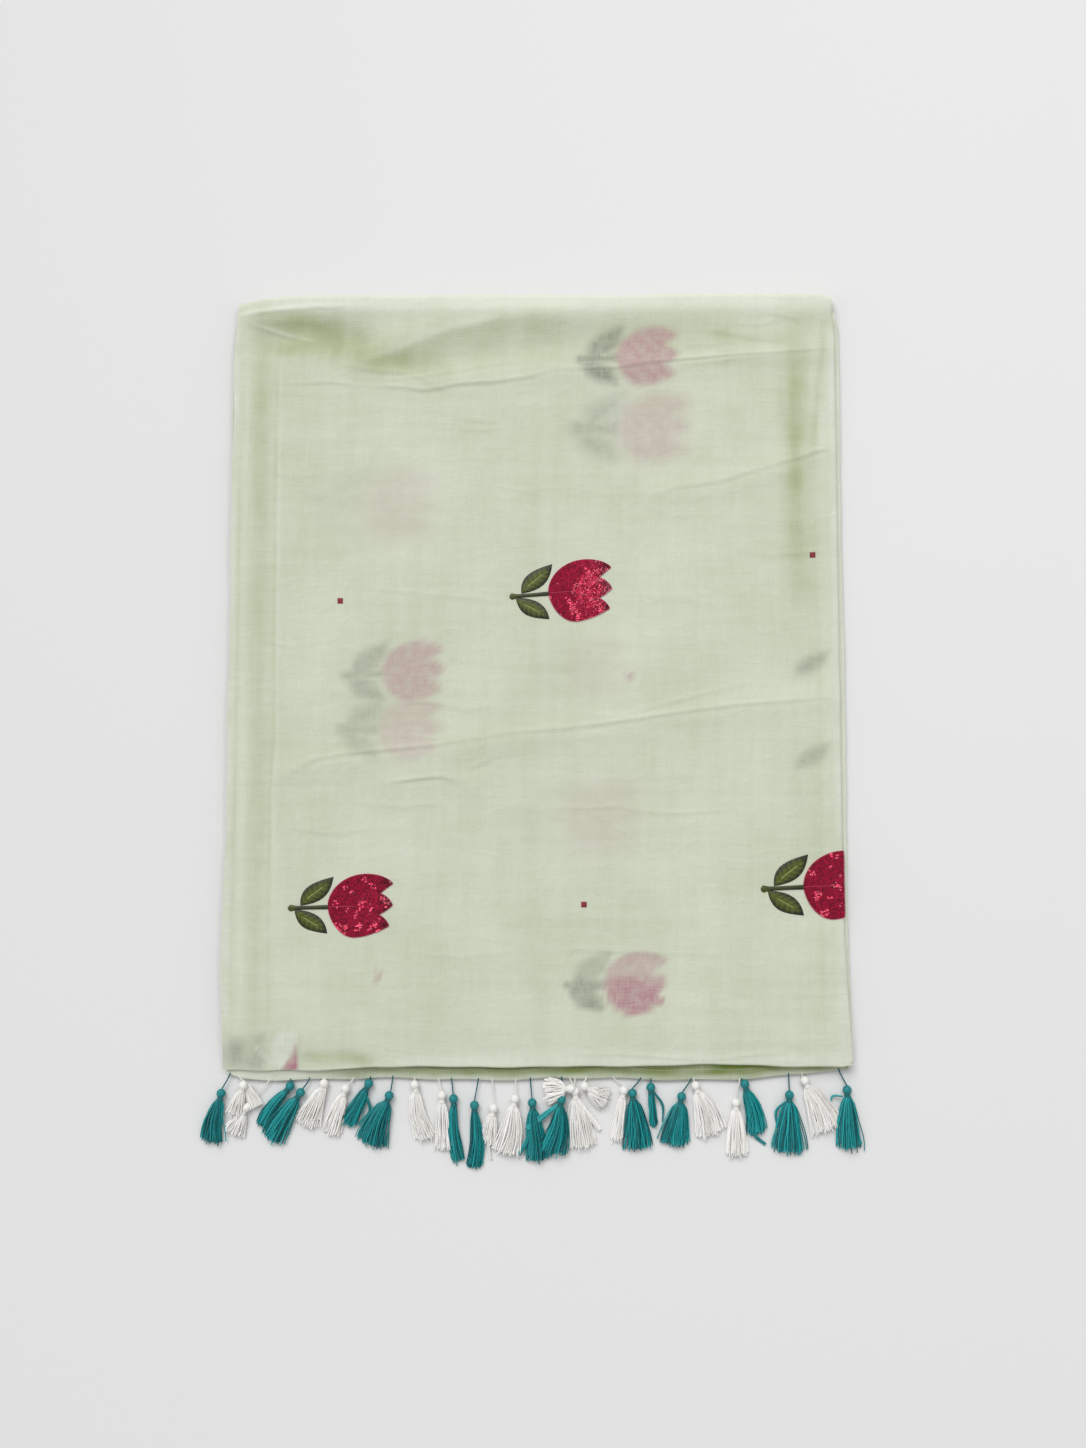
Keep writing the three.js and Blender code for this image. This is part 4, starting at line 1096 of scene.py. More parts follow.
def right_reach(y):
    """How far each fold reaches: further at the bottom, drawn in at the top corner."""
    return [reach + 1.6 * bell(y + 322, 46) - 5 * ramp(y, 322, 340) for reach in RIGHT_REACH]


def bottom_place(y, x, share):
    """Puts a place of the bottom stack at its height under the roof."""
    top = roof(np.clip(x, -270, 262), -330)
    return np.stack([x, y, mix(HIDDEN_FLOOR, top - 0.2, share)], axis=-1)


along_right = np.linspace(-339, 339, 140)[None, :]
right_stack = folds(50, along_right, right_reach, 262, right_place).transpose(1, 0, 2)
right_turns = np.linspace(0, len(RIGHT_REACH), right_stack.shape[1])[None, :]
right_tone = 0.06 + 0.06 * np.cos(2 * np.pi * right_turns)
layers_right = cloth_piece(
    "layers_right", [right_stack], EDGE_PLY, edge_mul, "cloth", (), [right_tone]
)
along_bottom = np.linspace(-277, 272, 120)[None, :]
bottom_stack = folds(90, along_bottom, lambda x: BOTTOM_REACH, -322, bottom_place)
layers_bottom = cloth_piece("layers_bottom", [bottom_stack], EDGE_PLY, edge_mul, "cloth", (), [0.3])

# %% [markdown]
# At the left each ply ends in a cut edge or a selvedge. The plies lie in pairs, because the
# cloth is doubled, and no two end at quite the same place.

# %% Cut edges at the left
LEFT_PLIES = 10
LEFT_INNER = -256


def left_ply(k):
    """One ply from inside the packet to its edge, which wavers, in its own share of the space."""
    y = np.linspace(-340, 338, 130)[:, None]
    pair, second = divmod(k, 2)
    edge = -280.2 + 1.5 * np.sin(2.3 * k) + 1.1 * waver(y, 130 + 4 * k) + 4 * ramp(y, 300, 345)
    x = mix(edge, LEFT_INNER, np.linspace(0, 1, 8)[None, :] ** 1.5)
    share = (pair + 0.32 + 0.36 * second) / (LEFT_PLIES / 2)
    ripple = 0.03 * np.sin(y / 9 + k) * (1 - ramp(x, -282, -270))
    height = mix(HIDDEN_FLOOR, roof(x, y), share + ripple / LEFT_PLIES)
    return np.stack([x, y + 0 * x, height], axis=-1)


left_plies = [left_ply(k) for k in range(LEFT_PLIES)]
left_tones = [0.16 + 0.05 * (k % 3) for k in range(LEFT_PLIES)]
layers_left = cloth_piece(
    "layers_left", left_plies, EDGE_PLY, edge_mul, "cloth", (), left_tones
)

# %% [markdown]
# Inside the big fold at the top the other layers turn too, each a little smaller than the one
# round it. Their ends are seen at both corners as nested half rounds.

# %% Nested turns at the top
NESTED_TURNS = 6
NESTED_DEPTH = 14


def nested_turn(k):
    """One layer's turn: along the top, half round and back. Its two heights are shares of the
    height of the outer layer there."""
    angle = np.concatenate([np.zeros(4), np.linspace(0, np.pi, 15), np.full(4, np.pi)])[:, None]
    back = np.concatenate([np.linspace(1, 0.1, 4), np.zeros(15), np.linspace(0.1, 1, 4)])[:, None]
    kept = 1 - 2 * (k + 1) / (2 * NESTED_TURNS + 1.5)
    ends = np.array([-277.5, 269.4]) + 1.3 * np.array([np.sin(2.1 * k), np.cos(1.7 * k)])
    x = np.linspace(*ends, 60)[None, :]
    start = top_edge(x) - TOP_ROLL_DEPTH - 1.0
    y = start - NESTED_DEPTH * back + (TOP_ROLL_DEPTH - 0.4) * kept * np.sin(angle)
    level = plain_height(x, y) - 0.35
    middle = (level + UNDER_LEVEL) / 2
    return np.stack([x + 0 * y, y, middle + (level - middle) * kept * np.cos(angle)], axis=-1)


turns = [nested_turn(k) for k in range(NESTED_TURNS)]
turn_tones = [0.22 + 0.04 * (k % 3) for k in range(NESTED_TURNS)]
layers_top = cloth_piece(
    "layers_top", turns, EDGE_PLY, edge_mul, "cloth", ("folded_layers",), turn_tones
)

# %% [markdown]
# ## The decorated end and its hem
# The end of the sari lies under the top layer. It comes out below it, drops over the edge of
# the layers underneath and ends in a narrow turned hem, which is double and so looks paler.
# Where it comes out it lies on many layers and in the shadow of the top layer's fold, and its
# deeper green is partly painted shade.

# %% The decorated end
PALLU_LIP_LEVEL = 3.2
HEM_WIDTH = 10.5
PALLU_PLY = 0.4


def hem_edge(x):
    """The hem's lower edge: two small waves, rising 8 mm to the right end and 4 to the left."""
    wave = 1.6 * np.sin(x / 29) + 1.1 * np.sin(x / 11 + 1)
    return -364.8 + 0.6 * wave + 8 * ramp(x, 190, 285) + 4 * (1 - ramp(x, -280, -262))


def pallu_height(x, y):
    """Level under the top layer's return, then an S down to the hem."""
    past = ramp(y, hem_edge(x) + 17, hem_edge(x) - 2)
    under_top = plain_height(x, bottom_edge(x)) - 2 * lower_roll_radius(x)
    level = under_top - mix(0.6, WALL + GAP + 0.1, ramp(x, -196, -130)) - below_roll(x)
    folds_here = 0.35 * ripples(x, y * 2.2, 18, 60, seed=61) * (1 - ramp(y, -352, -340))
    return mix(level, PALLU_LIP_LEVEL, past) + folds_here * ramp(y, hem_edge(x), hem_edge(x) + 8)


def pallu_grid(low, high, rows, columns=240):
    """A grid between two distances from the hem's edge."""
    x = np.linspace(-HALF_WIDTH + 2, HALF_WIDTH - 2, columns)[None, :]
    y = hem_edge(x) + mix(low, high, np.linspace(0, 1, rows)[:, None])
    return np.stack([x + 0 * y, y, pallu_height(x, y)], axis=-1)


pallu_points = pallu_grid(0.6, 44, 34)
pallu_x, pallu_y, _ = np.moveaxis(pallu_points, -1, 0)
# Deep green where the end comes out under the top layer: partly many layers, partly painted shade
# from the fold above.
pallu_tone_and_shade = 0.86 + 0.12 * ripples(pallu_x, 3 * pallu_y, 25, 120, seed=63)
pallu_tone_and_shade -= 0.62 * (1 - ramp(pallu_x, -210, -150)) + 0.12 * ramp(pallu_x, 200, 270)
pallu = cloth_piece(
    "decorated_end", [pallu_points], PALLU_PLY, end_mul, "cloth", ("pallu_stretch",), [pallu_tone_and_shade]
)

# %% [markdown]
# The hem is the same cloth turned up once more, so it stands a little proud, with a rounded
# lower edge and a fine line of running stitches along its upper one.

# %% The turned hem
HEM_LIFT = 0.75
HEM_PLY = 0.35
STITCH_PITCH = 3.2
STITCH_LENGTH = 1.9
STITCH_RADIUS = 0.22


def hem_points():
    """The hem's outer ply: from under the edge, round it, and up to the stitch line."""
    x = np.linspace(-HALF_WIDTH + 1.6, HALF_WIDTH - 1.6, 300)[None, :]
    turn = np.linspace(0, 1, 7)[:, None]
    edge = hem_edge(x)
    up = np.linspace(0, 1, 12)[1:, None]
    y_round = edge + 0.9 - 1.1 * np.sin(np.pi * turn)
    z_round = PALLU_LIP_LEVEL - 0.45 + (HEM_LIFT + 0.45) * (1 - np.cos(np.pi * turn)) / 2
    y_flat = edge + mix(0.9, HEM_WIDTH, up)
    pull = 0.12 * ripples(x, 0 * x, 14, 44, seed=71) * ramp(up, 0, 1)
    z_flat = pallu_height(x, y_flat) + HEM_LIFT * (1 - 0.5 * ramp(up, 0.8, 1)) + pull
    y = np.concatenate([y_round, y_flat + 0.25 * ripples(x, 0 * x, 30, 90, seed=72) * up])
    return np.stack([x + 0 * y, y, np.concatenate([z_round + 0 * x, z_flat])], axis=-1)


hem_grid = hem_points()
hem_x = hem_grid[..., 0]
above_edge = hem_grid[..., 1] - hem_edge(hem_x)
streaks = ripples(hem_x, 6 * hem_grid[..., 1], 30, 130, seed=73)
bare_tone = 0.05 * streaks
# Deeper green up the hem towards the top layer's fold: painted shade under the fold.
layered_and_shaded_tone = 0.2 + 0.52 * ramp(above_edge, 0.3, 7) + 0.09 * streaks + 0.1 * ramp(hem_x, -60, 60)
hem_tone = mix(bare_tone, layered_and_shaded_tone, ramp(hem_x, -212, -150))
hem = cloth_piece("hem", [hem_grid], HEM_PLY, end_mul, "hem", ("pallu_hem",), [hem_tone])


# %% [markdown]
# ## Yarn
# Stitches, cords and tassel yarns are all thin tubes along lines. One function makes many of
# them at once: around every point of every line it sets a ring of a few corners, in the two
# directions square to the line there.

# %% Tubes along lines
UP = np.array([0, 0, 1.0])


def circle(sides):
    """Angles evenly round a circle."""
    return 2 * np.pi * np.arange(sides) / sides


def ring_faces(index):
    """Four-cornered faces between each ring of corners and the next one."""
    a, b = index[..., :-1, :], index[..., 1:, :]
    return np.stack([a, b, np.roll(b, -1, -1), np.roll(a, -1, -1)], axis=-1).reshape(-1, 4)


def tube_mesh(lines, radius, sides):
    """Tubes of one size along lines of equally many points: vertices, faces round them, and
    fans of triangles that close both ends to a point in their middle."""
    count, stations, _ = lines.shape
    tangent = unit(np.gradient(lines, axis=1))
    level = unit(np.cross(tangent, UP))
    upright = np.cross(level, tangent)
    turn = circle(sides)[:, None]
    ring = level[:, :, None] * np.cos(turn) + upright[:, :, None] * np.sin(turn)
    points = (lines[:, :, None] + radius * ring).reshape(-1, 3)
    index = np.arange(len(points)).reshape(count, stations, sides)
    first, last = index[:, 0], index[:, -1]
    centres = np.concatenate([lines[:, 0], lines[:, -1]])
    middle = len(points) + np.arange(count)[:, None]
    fan_first = np.stack([middle + 0 * first, first, np.roll(first, -1, 1)], axis=-1)
    fan_last = np.stack([middle + count + 0 * last, np.roll(last, -1, 1), last], axis=-1)
    triangles = np.concatenate([fan_first.reshape(-1, 3), fan_last.reshape(-1, 3)])
    return np.concatenate([points, centres]), ring_faces(index), triangles


def several_tubes(groups):
    """Tubes of different lengths or sides as one mesh. Each group is lines, radius, sides."""
    vertices, quads, triangles, start = [], [], [], 0
    for group in groups:
        points, around, ends = tube_mesh(*group)
        vertices.append(points)
        quads.append(around + start)
        triangles.append(ends + start)
        start += len(points)
    return np.concatenate(vertices), (np.concatenate(quads), np.concatenate(triangles))


# %% Running stitches along the hem
stitch_x = np.arange(-HALF_WIDTH + 6, HALF_WIDTH - 6, STITCH_PITCH)[:, None]
stitch_x = stitch_x + np.linspace(-0.5, 0.5, 4)[None, :] * STITCH_LENGTH
stitch_y = hem_edge(stitch_x) + HEM_WIDTH - 1.5
arch = 0.14 * np.cos(np.linspace(-np.pi / 2, np.pi / 2, 4))[None, :]
stitch_z = pallu_height(stitch_x, stitch_y) + HEM_LIFT + 0.12 + arch
stitch_lines = np.stack([stitch_x, stitch_y, stitch_z], axis=-1)
stitches = several_tubes([(stitch_lines, STITCH_RADIUS, 5)])
new_piece("hem_stitches", stitches, green_cotton, "cloth", shade=0.3)

# %% [markdown]
# ## Flowers
# Each flower is sewn on the top layer: a bloom covered in rows of sequins, and a stem and two
# leaves in satin stitch. Everything on them is first placed on a flat drawing of the flower
# and then laid on the cloth, so it follows the folds. At the right-hand edge the cloth rolls
# away, and the third flower goes round the fold with it.

# %% Laying things on the cloth
FLOWERS = {
    # foot of the stem, turn, scale
    "a": (-224, -212.5, 1.5, 1.0),
    "b": (-26, 69.5, 4.5, 1.0),
    "c": (200, -195.5, 2.5, 1.08),
}
ROLL_KEPT = 5.5


def from_flower(u, v, flower):
    """Places on the cloth of a place in the flower's drawing, as if the cloth were flat."""
    foot_x, foot_y, turn, scale = FLOWERS[flower]
    c, s = np.cos(np.radians(turn)), np.sin(np.radians(turn))
    return foot_x + scale * (c * u - s * v), foot_y + scale * (s * u + c * v)


def lay(flat_points, flower):
    """Points u, v and lift of a flower's drawing, put on the cloth. Beyond the start of the
    right-hand roll a point keeps its distance along the cloth, so it goes round the roll."""
    x, y = from_flower(flat_points[..., 0], flat_points[..., 1], flower)
    lift = flat_points[..., 2]
    start = right_edge(y) - RIGHT_ROLL_RADIUS
    past = np.maximum(x - start, 0)
    level = top_height(np.minimum(x, start), y) + CLOTH / 2
    angle = past / RIGHT_ROLL_RADIUS
    around = RIGHT_ROLL_RADIUS + CLOTH / 2 + lift
    rolled_x = start + around * np.sin(angle)
    rolled_z = level - RIGHT_ROLL_RADIUS - CLOTH / 2 + around * np.cos(angle)
    x = np.where(past > 0, rolled_x, x)
    return np.stack([x, y, np.where(past > 0, rolled_z, level + lift)], axis=-1)


def last_seen(y):
    """How far right the roll can be seen."""
    return right_edge(y) - RIGHT_ROLL_RADIUS + ROLL_KEPT


def on_cloth(u, v, flower):
    """Whether a place of the drawing lies on the part of the cloth that can be seen."""
    x, y = from_flower(u, v, flower)
    return x < last_seen(y)


def clipped(points, flower):
    """Points past the visible part of the roll are drawn back to its end."""
    foot_x, _, turn, scale = FLOWERS[flower]
    c, s = np.cos(np.radians(turn)), np.sin(np.radians(turn))
    _, y = from_flower(points[..., 0], points[..., 1], flower)
    limit = ((last_seen(y) - foot_x) / scale + s * points[..., 1]) / c
    return np.concatenate([np.minimum(points[..., 0], limit)[..., None], points[..., 1:]], axis=-1)


# %% [markdown]
# ### The bloom
# Sequins are sewn in rows that follow the bloom's outline and then each other, further and
# further in. A row is the outline moved inwards. Where two rows would run into each other the
# points that came too close to the outline are left out, so the rows meet in creases between
# the petals. Round the notch between two petals a row goes in an arc: the notch is one point
# that is moved inwards in many directions. Each disc leans on the one before like a roof
# tile, and here and there a hand has pressed some over, which then all flash together. One
# pink thread runs over the rows from the stem to the heart of the bloom.

# %% Rows of sequins
ROW_PITCH = 1.85
SEQUIN_PITCH = 1.08
SEQUIN_RADIUS = 1.0
SEQUIN_SIDES = 6
SEQUIN_THICKNESS = 0.12
SEQUIN_CUP = 0.05
SEQUIN_LIFT = 1.0
LEAN = 0.09
FLASH_TILT = np.array([-0.14, 0.38])
SEAM_HEIGHT = 1.4
SEAM_RADIUS = 0.24
BLOOM_HEART = np.array([62.0, 0.0])
NOTCH_TURN = 0.3
NOTCH_POINTS = 120


def evenly(points, pitch):
    """A closed line's points again, that far apart along it."""
    closed = np.concatenate([points, points[:1]])
    passed = np.concatenate([[0], np.cumsum(np.linalg.norm(np.diff(closed, axis=0), axis=1))])
    places = np.arange(0, passed[-1], pitch)
    return np.stack([np.interp(places, passed, closed[:, axis]) for axis in (0, 1)], axis=-1)


def inward_row(outline, depth):
    """The outline moved inwards by a depth, less what lies nearer to it than that. A place's
    heading is halfway between those of the pieces it joins. At a notch the place is repeated
    while its heading turns evenly from one to the other."""
    ahead = np.roll(outline, -1, 0) - outline
    heading = np.arctan2(ahead[:, 1], ahead[:, 0])
    turn = (heading - np.roll(heading, 1) + np.pi) % (2 * np.pi) - np.pi
    repeats = np.where(turn > NOTCH_TURN, NOTCH_POINTS, 1)
    place = np.repeat(np.arange(len(outline)), repeats)
    step = np.arange(len(place)) - np.repeat(np.cumsum(repeats) - repeats, repeats)
    angle = heading[place] - turn[place] * (1 - (step + 0.5) / repeats[place])
    tangent = np.stack([np.cos(angle), np.sin(angle)], axis=-1)
    moved = outline[place] + depth * np.stack([tangent[:, 1], -tangent[:, 0]], axis=-1)
    closed = np.concatenate([outline, outline[:1]])
    distance, _ = beside_line(moved[:, 0], moved[:, 1], closed)
    keep = np.abs(distance) > abs(depth) - 0.12
    return moved[keep], tangent[keep]


def sequin_rows(outline):
    """Centres and directions of all the sequins of a bloom, row by row."""
    centres, headings, rows = [], [], []
    for k in range(30):
        points, tangent = inward_row(outline, ROW_PITCH * (k + 0.42))
        if len(points) < 3:
            break
        steps = np.linalg.norm(np.diff(points, axis=0, prepend=points[:1]), axis=1)
        passed = np.cumsum(steps) / SEQUIN_PITCH
        chosen = np.diff(np.floor(passed), prepend=-1) > 0
        centres.append(points[chosen])
        headings.append(tangent[chosen])
        rows.append(np.full(chosen.sum(), k))
    return np.concatenate(centres), np.concatenate(headings), np.concatenate(rows)


# %% Sequin discs
def sequins(flower, seed):
    """All the sequins of a bloom: cupped six-sided discs with a top and a bottom."""
    draw = np.random.default_rng(seed)
    outline = evenly(bloom_outline(), 0.35)
    centres, headings, rows = sequin_rows(outline)
    kept = on_cloth(centres[:, 0], centres[:, 1], flower)
    centres, headings, rows = centres[kept], headings[kept], rows[kept]
    count = len(centres)
    facing = np.arctan2(headings[:, 1], headings[:, 0])[:, None]
    clusters = ripples(centres[:, 0], centres[:, 1], 8, 22, seed + 1)
    lower_right = ramp(0.5 * (centres[:, 0] - 62) - centres[:, 1], -14, 12)
    pressed = ramp(clusters + 0.6 * lower_right, 1.0, 1.15) * (draw.random(count) < 0.5)
    tilt = -(LEAN + draw.normal(0, 0.03, count))[:, None] * headings
    tilt = mix(tilt, FLASH_TILT, 0.95 * pressed[:, None]) + draw.normal(0, 0.04, (count, 2))
    angle = circle(SEQUIN_SIDES) + facing
    disc = SEQUIN_RADIUS * np.stack([np.cos(angle), np.sin(angle)], axis=-1)
    ring = np.concatenate([disc, 0.45 * disc], axis=1)
    cup = np.repeat([SEQUIN_CUP, 0], SEQUIN_SIDES)
    lift = -np.sum(tilt[:, None] * ring, axis=-1)
    u = centres[:, :1] + ring[..., 0]
    v = centres[:, 1:] + ring[..., 1]
    height = SEQUIN_LIFT + 0.3 * (rows[:, None] > 0) + lift + cup
    top = np.stack([u, v, height], axis=-1)
    bottom = top - np.array([0, 0, SEQUIN_THICKNESS])
    vertices = lay(np.concatenate([top, bottom], axis=1), flower).reshape(-1, 3)
    shade = 0.6 + draw.normal(0, 0.2, count) - 0.45 * ramp(centres[:, 0], 78, 92)
    shade = np.repeat(np.clip(shade, 0, 1), 4 * SEQUIN_SIDES)
    k = np.arange(SEQUIN_SIDES)
    after = (k + 1) % SEQUIN_SIDES
    outer, inner = k, k + SEQUIN_SIDES
    outer_next, inner_next = after, after + SEQUIN_SIDES
    low = 2 * SEQUIN_SIDES
    quads = np.concatenate(
        [
            np.stack([inner, outer, outer_next, inner_next], axis=-1),
            np.stack([inner_next + low, outer_next + low, outer + low, inner + low], axis=-1),
            np.stack([outer + low, outer_next + low, outer_next, outer], axis=-1),
        ]
    )
    offsets = (4 * SEQUIN_SIDES * np.arange(count))[:, None, None]
    rims = (quads + offsets).reshape(-1, 4)
    tops = (inner + offsets).reshape(-1, SEQUIN_SIDES)
    bottoms = (inner[::-1] + low + offsets).reshape(-1, SEQUIN_SIDES)
    return (vertices, (rims, tops, bottoms)), shade


# %% [markdown]
# Under the sequins the bloom is padded a little: a low cushion in dark red thread, which keeps the
# cloth from showing between the discs. Its near-black red is partly painted shade in the gaps
# between the rows. A pale thread is couched round its outline.

# %% Blooms
PAD_HEIGHT = 0.85
PAD_RINGS = 9
EDGE_THREAD_RADIUS = 0.3
EDGING_OFFSET = 0.55


def base_of(skin):
    """The underside of an embroidered patch: the same places, just on the cloth."""
    return np.concatenate([skin[..., :2], np.full((*skin.shape[:2], 1), 0.03)], axis=-1)


def pad():
    """The padding: rings from the heart of the bloom out to its outline, steep at the rim."""
    share = np.linspace(0.04, 1, PAD_RINGS)[:, None, None]
    flat = BLOOM_HEART + share * (evenly(bloom_outline(), 1.2) - BLOOM_HEART)
    dome = PAD_HEIGHT * (1 - share[:, :, :1] ** 6) + 0.06 + 0 * flat[..., :1]
    top = np.concatenate([flat, dome], axis=-1)
    return top, base_of(top)


def ring_skins(outer, inner):
    """The closed body between two grids whose rows are rings, from the middle outwards."""
    rows, columns, _ = outer.shape
    count = rows * columns
    index = np.arange(count).reshape(rows, columns)
    following = np.roll(index, -1, 1)
    top = np.stack([index[:-1], following[:-1], following[1:], index[1:]], axis=-1).reshape(-1, 4)
    last, after = index[-1], following[-1]
    rim = np.stack([last, after, after + count, last + count], axis=-1)
    caps = np.stack([index[0][::-1], index[0] + count])
    vertices = np.concatenate([outer.reshape(-1, 3), inner.reshape(-1, 3)])
    return vertices, (np.concatenate([top, top[:, ::-1] + count, rim]), caps)


def edging(flower):
    """The thread round the bloom: its outline moved out, as far as it can be seen, and begun
    where it is interrupted."""
    line, _ = inward_row(evenly(bloom_outline(), 0.9), -EDGING_OFFSET)
    line = line[on_cloth(line[:, 0], line[:, 1], flower)]
    gap = np.argmax(np.linalg.norm(line - np.roll(line, 1, 0), axis=1))
    height = np.full((len(line), 1), EDGE_THREAD_RADIUS * 0.7)
    return np.concatenate([np.roll(line, -gap, 0), height], axis=1)


seam = np.stack([np.linspace(36.5, 60, 24), np.full(24, 0.3), np.full(24, SEAM_HEIGHT)], axis=1)
for number, flower in enumerate(FLOWERS):
    body, shade = sequins(flower, seed=200 + 10 * number)
    new_piece(f"sequins_{flower}", body, red_film, "sequins", (f"bloom_{flower}",), shade=shade)
    cushion = ring_skins(*(lay(clipped(grid, flower), flower) for grid in pad()))
    # The cushion's very dark red stands partly for the shade between the rows: painted shade.
    new_piece(f"bloom_pad_{flower}", cushion, padding_shade_floss, "sequins", shade=0.5)
    rim = several_tubes([(lay(edging(flower), flower)[None], EDGE_THREAD_RADIUS, 6)])
    new_piece(f"bloom_edging_{flower}", rim, pink_floss, "sequins", shade=0.5)
    line = several_tubes([(lay(clipped(seam, flower), flower)[None], SEAM_RADIUS, 5)])
    new_piece(f"bloom_seam_{flower}", line, rose_thread, "sequins", shade=0.5)

# %% [markdown]
# ### Stem and leaves
# Satin stitch is many threads side by side. On a leaf they run slantwise from the middle vein
# to the edges, and the threads pile up to a low ridge. A leaf is a grid between its two edge
# curves: along it from base to tip, and across it from edge to edge.

# %% Satin stitch
SATIN_PITCH = 0.9
TOOTH_PITCH = 2.2
SIDE_VEIN_PITCH = 5
TOOTH_HEIGHT = 0.6
LEAF_HEIGHT = 1.0
VEIN_RADIUS = 0.32
STEM_HALF_WIDTH = 2.0
FOOT_FLARE = 1.0


def thread_ridges(phase):
    """The height of threads side by side: the absolute value of a sine, 0.14 mm high."""
    return 0.14 * np.abs(np.sin(np.pi * phase))


def leaf(edges, steps=110, columns=25):
    """A leaf's upper skin in the drawing, its shade and its vein."""
    first, second = (bezier(*edge, steps) for edge in edges)
    chord = np.linalg.norm(first[-1] - first[0])
    share = np.linspace(0, 1, steps)[:, None]
    place = np.linspace(0, 1, columns)[None, :]
    middle = np.abs(2 * place - 1)
    phase = share * chord / SATIN_PITCH - 4.5 * middle
    teeth = np.abs(np.sin(np.pi * share * chord / TOOTH_PITCH))
    ragged = TOOTH_HEIGHT * teeth * np.sin(np.pi * share)
    centre = (first + second) / 2
    span = (first - second) / 2
    width = np.linalg.norm(span, axis=1)[:, None]
    wide = 1 + ragged / np.maximum(width, 0.6)
    spot = centre[:, None] + span[:, None] * ((1 - 2 * place) * wide)[..., None]
    dome = LEAF_HEIGHT * np.sqrt(np.clip(1 - middle**2, 0, 1)) * np.minimum(width / 4, 1) ** 0.5
    groove = 0.35 * bell(middle, 0.12) * np.sin(np.pi * share)
    height = 0.08 + dome + thread_ridges(phase) * np.minimum(width / 2, 1) - groove
    veins = bell((share * chord / SIDE_VEIN_PITCH - 0.9 * middle) % 1 - 0.5, 0.16)
    # Lighter along the middle and darker towards the edges; the lighter middle is a painted
    # highlight on the domed stitching.
    shade = 0.78 - 0.82 * middle**1.9 + 0.12 * np.sin(2 * np.pi * phase) - 0.34 * veins
    shade = shade - 0.6 * ramp(share, 0.72, 0.95) - 0.3 * (1 - ramp(share, 0, 0.15))
    return np.concatenate([spot, height[..., None]], axis=-1), shade


def stem(steps=90, columns=15):
    """The stem's upper skin: a narrow band with a flared foot, its threads slanting."""
    share = np.linspace(0, 1, steps)[:, None]
    place = np.linspace(1, -1, columns)[None, :]
    along = STEM_LENGTH * share + 0.4
    half = STEM_HALF_WIDTH + FOOT_FLARE * bell(along - 2.6, 3) - 0.3 * np.sin(np.pi * share)
    half = half * np.sqrt(np.clip((along - 0.2) / 2, 0.1, 1))
    phase = along / SATIN_PITCH + 1.2 * place
    rounded = np.sqrt(np.clip(1 - place**2, 0, 1))
    height = 0.08 + 1.1 * rounded + thread_ridges(phase)
    # Lighter along the stem's rounded crest: painted highlight.
    shade = 0.12 + 0.1 * np.sin(2 * np.pi * phase) - 0.12 * ramp(share, 0.5, 1) + 0.12 * rounded
    shade = shade + 0.24 * bell(along - 3.5, 3.5)
    spot = np.stack([along + 0 * place, half * place + 0 * along, height], axis=-1)
    return spot, shade


def vein(edges, start, end):
    """A few pale threads along the middle of a leaf, as a line in the drawing: a painted highlight
    along the satin stitch's crest.
    """
    first, second = (bezier(*edge, 40) for edge in edges)
    centre = ((first + second) / 2)[int(40 * start) : int(40 * end)]
    rise = np.full((len(centre), 1), LEAF_HEIGHT + 0.02)
    return np.concatenate([centre, rise], axis=1)


for flower in FLOWERS:
    skins, shades = zip(stem(), leaf(UPPER_LEAF), leaf(LOWER_LEAF))
    body = joined([two_skins(lay(skin, flower), lay(base_of(skin), flower)) for skin in skins])
    shade = np.concatenate([twice(part) for part in shades])
    name = f"stem_and_leaves_{flower}"
    new_piece(name, body, leaf_floss, "leaf_thread", (f"stem_{flower}",), shade=shade)
    lines = (vein(UPPER_LEAF, 0.25, 0.72), vein(LOWER_LEAF, 0.3, 0.7))
    veins = several_tubes([(lay(line, flower)[None], VEIN_RADIUS, 5) for line in lines])
    new_piece(f"leaf_vein_highlight_{flower}", veins, vein_highlight_floss, "leaf_thread", shade=0.5)


# %% [markdown]
# ### Small squares
# Between the flowers are small dark red squares, five millimetres wide, in the same stitch.

# %% Squares
SQUARES = [(-179.9, 65.7), (251.6, 108.2), (41.7, -209.2)]


def square(centre_x, centre_y, count=26):
    """A satin-stitched square laid on the cloth, as an upper and a lower skin."""
    x = centre_x + DOT_SIZE * np.linspace(-0.5, 0.5, count)[None, :]
    y = centre_y + DOT_SIZE * np.linspace(-0.5, 0.5, count)[:, None]
    off = np.maximum(np.abs(x - centre_x), np.abs(y - centre_y)) / (DOT_SIZE / 2)
    x, y = x + 0 * y, y + 0 * x
    level = top_height(x, y) + CLOTH / 2
    lift = 0.06 + 0.75 * np.sqrt(np.clip(1 - off**4, 0, 1)) + thread_ridges(y / SATIN_PITCH)
    return np.stack([x, y, level + lift], axis=-1), np.stack([x, y, level + 0.03], axis=-1)


squares = joined([two_skins(*square(*centre)) for centre in SQUARES])
new_piece("small_squares", squares, dark_red_floss, "sequins", shade=0.45)

# %% [markdown]
# ## Tassels
# A tassel is a hank of yarn tied near its top. The tie leaves a small ball, a wrapped neck
# and a skirt of about eighty yarns, and a twisted cord holds it at the hem. Each one is made
# of three things: the skirt's yarns, whose ends spread on the ground, the ball and neck as one
# turned shape with thread grooves, and the cord.

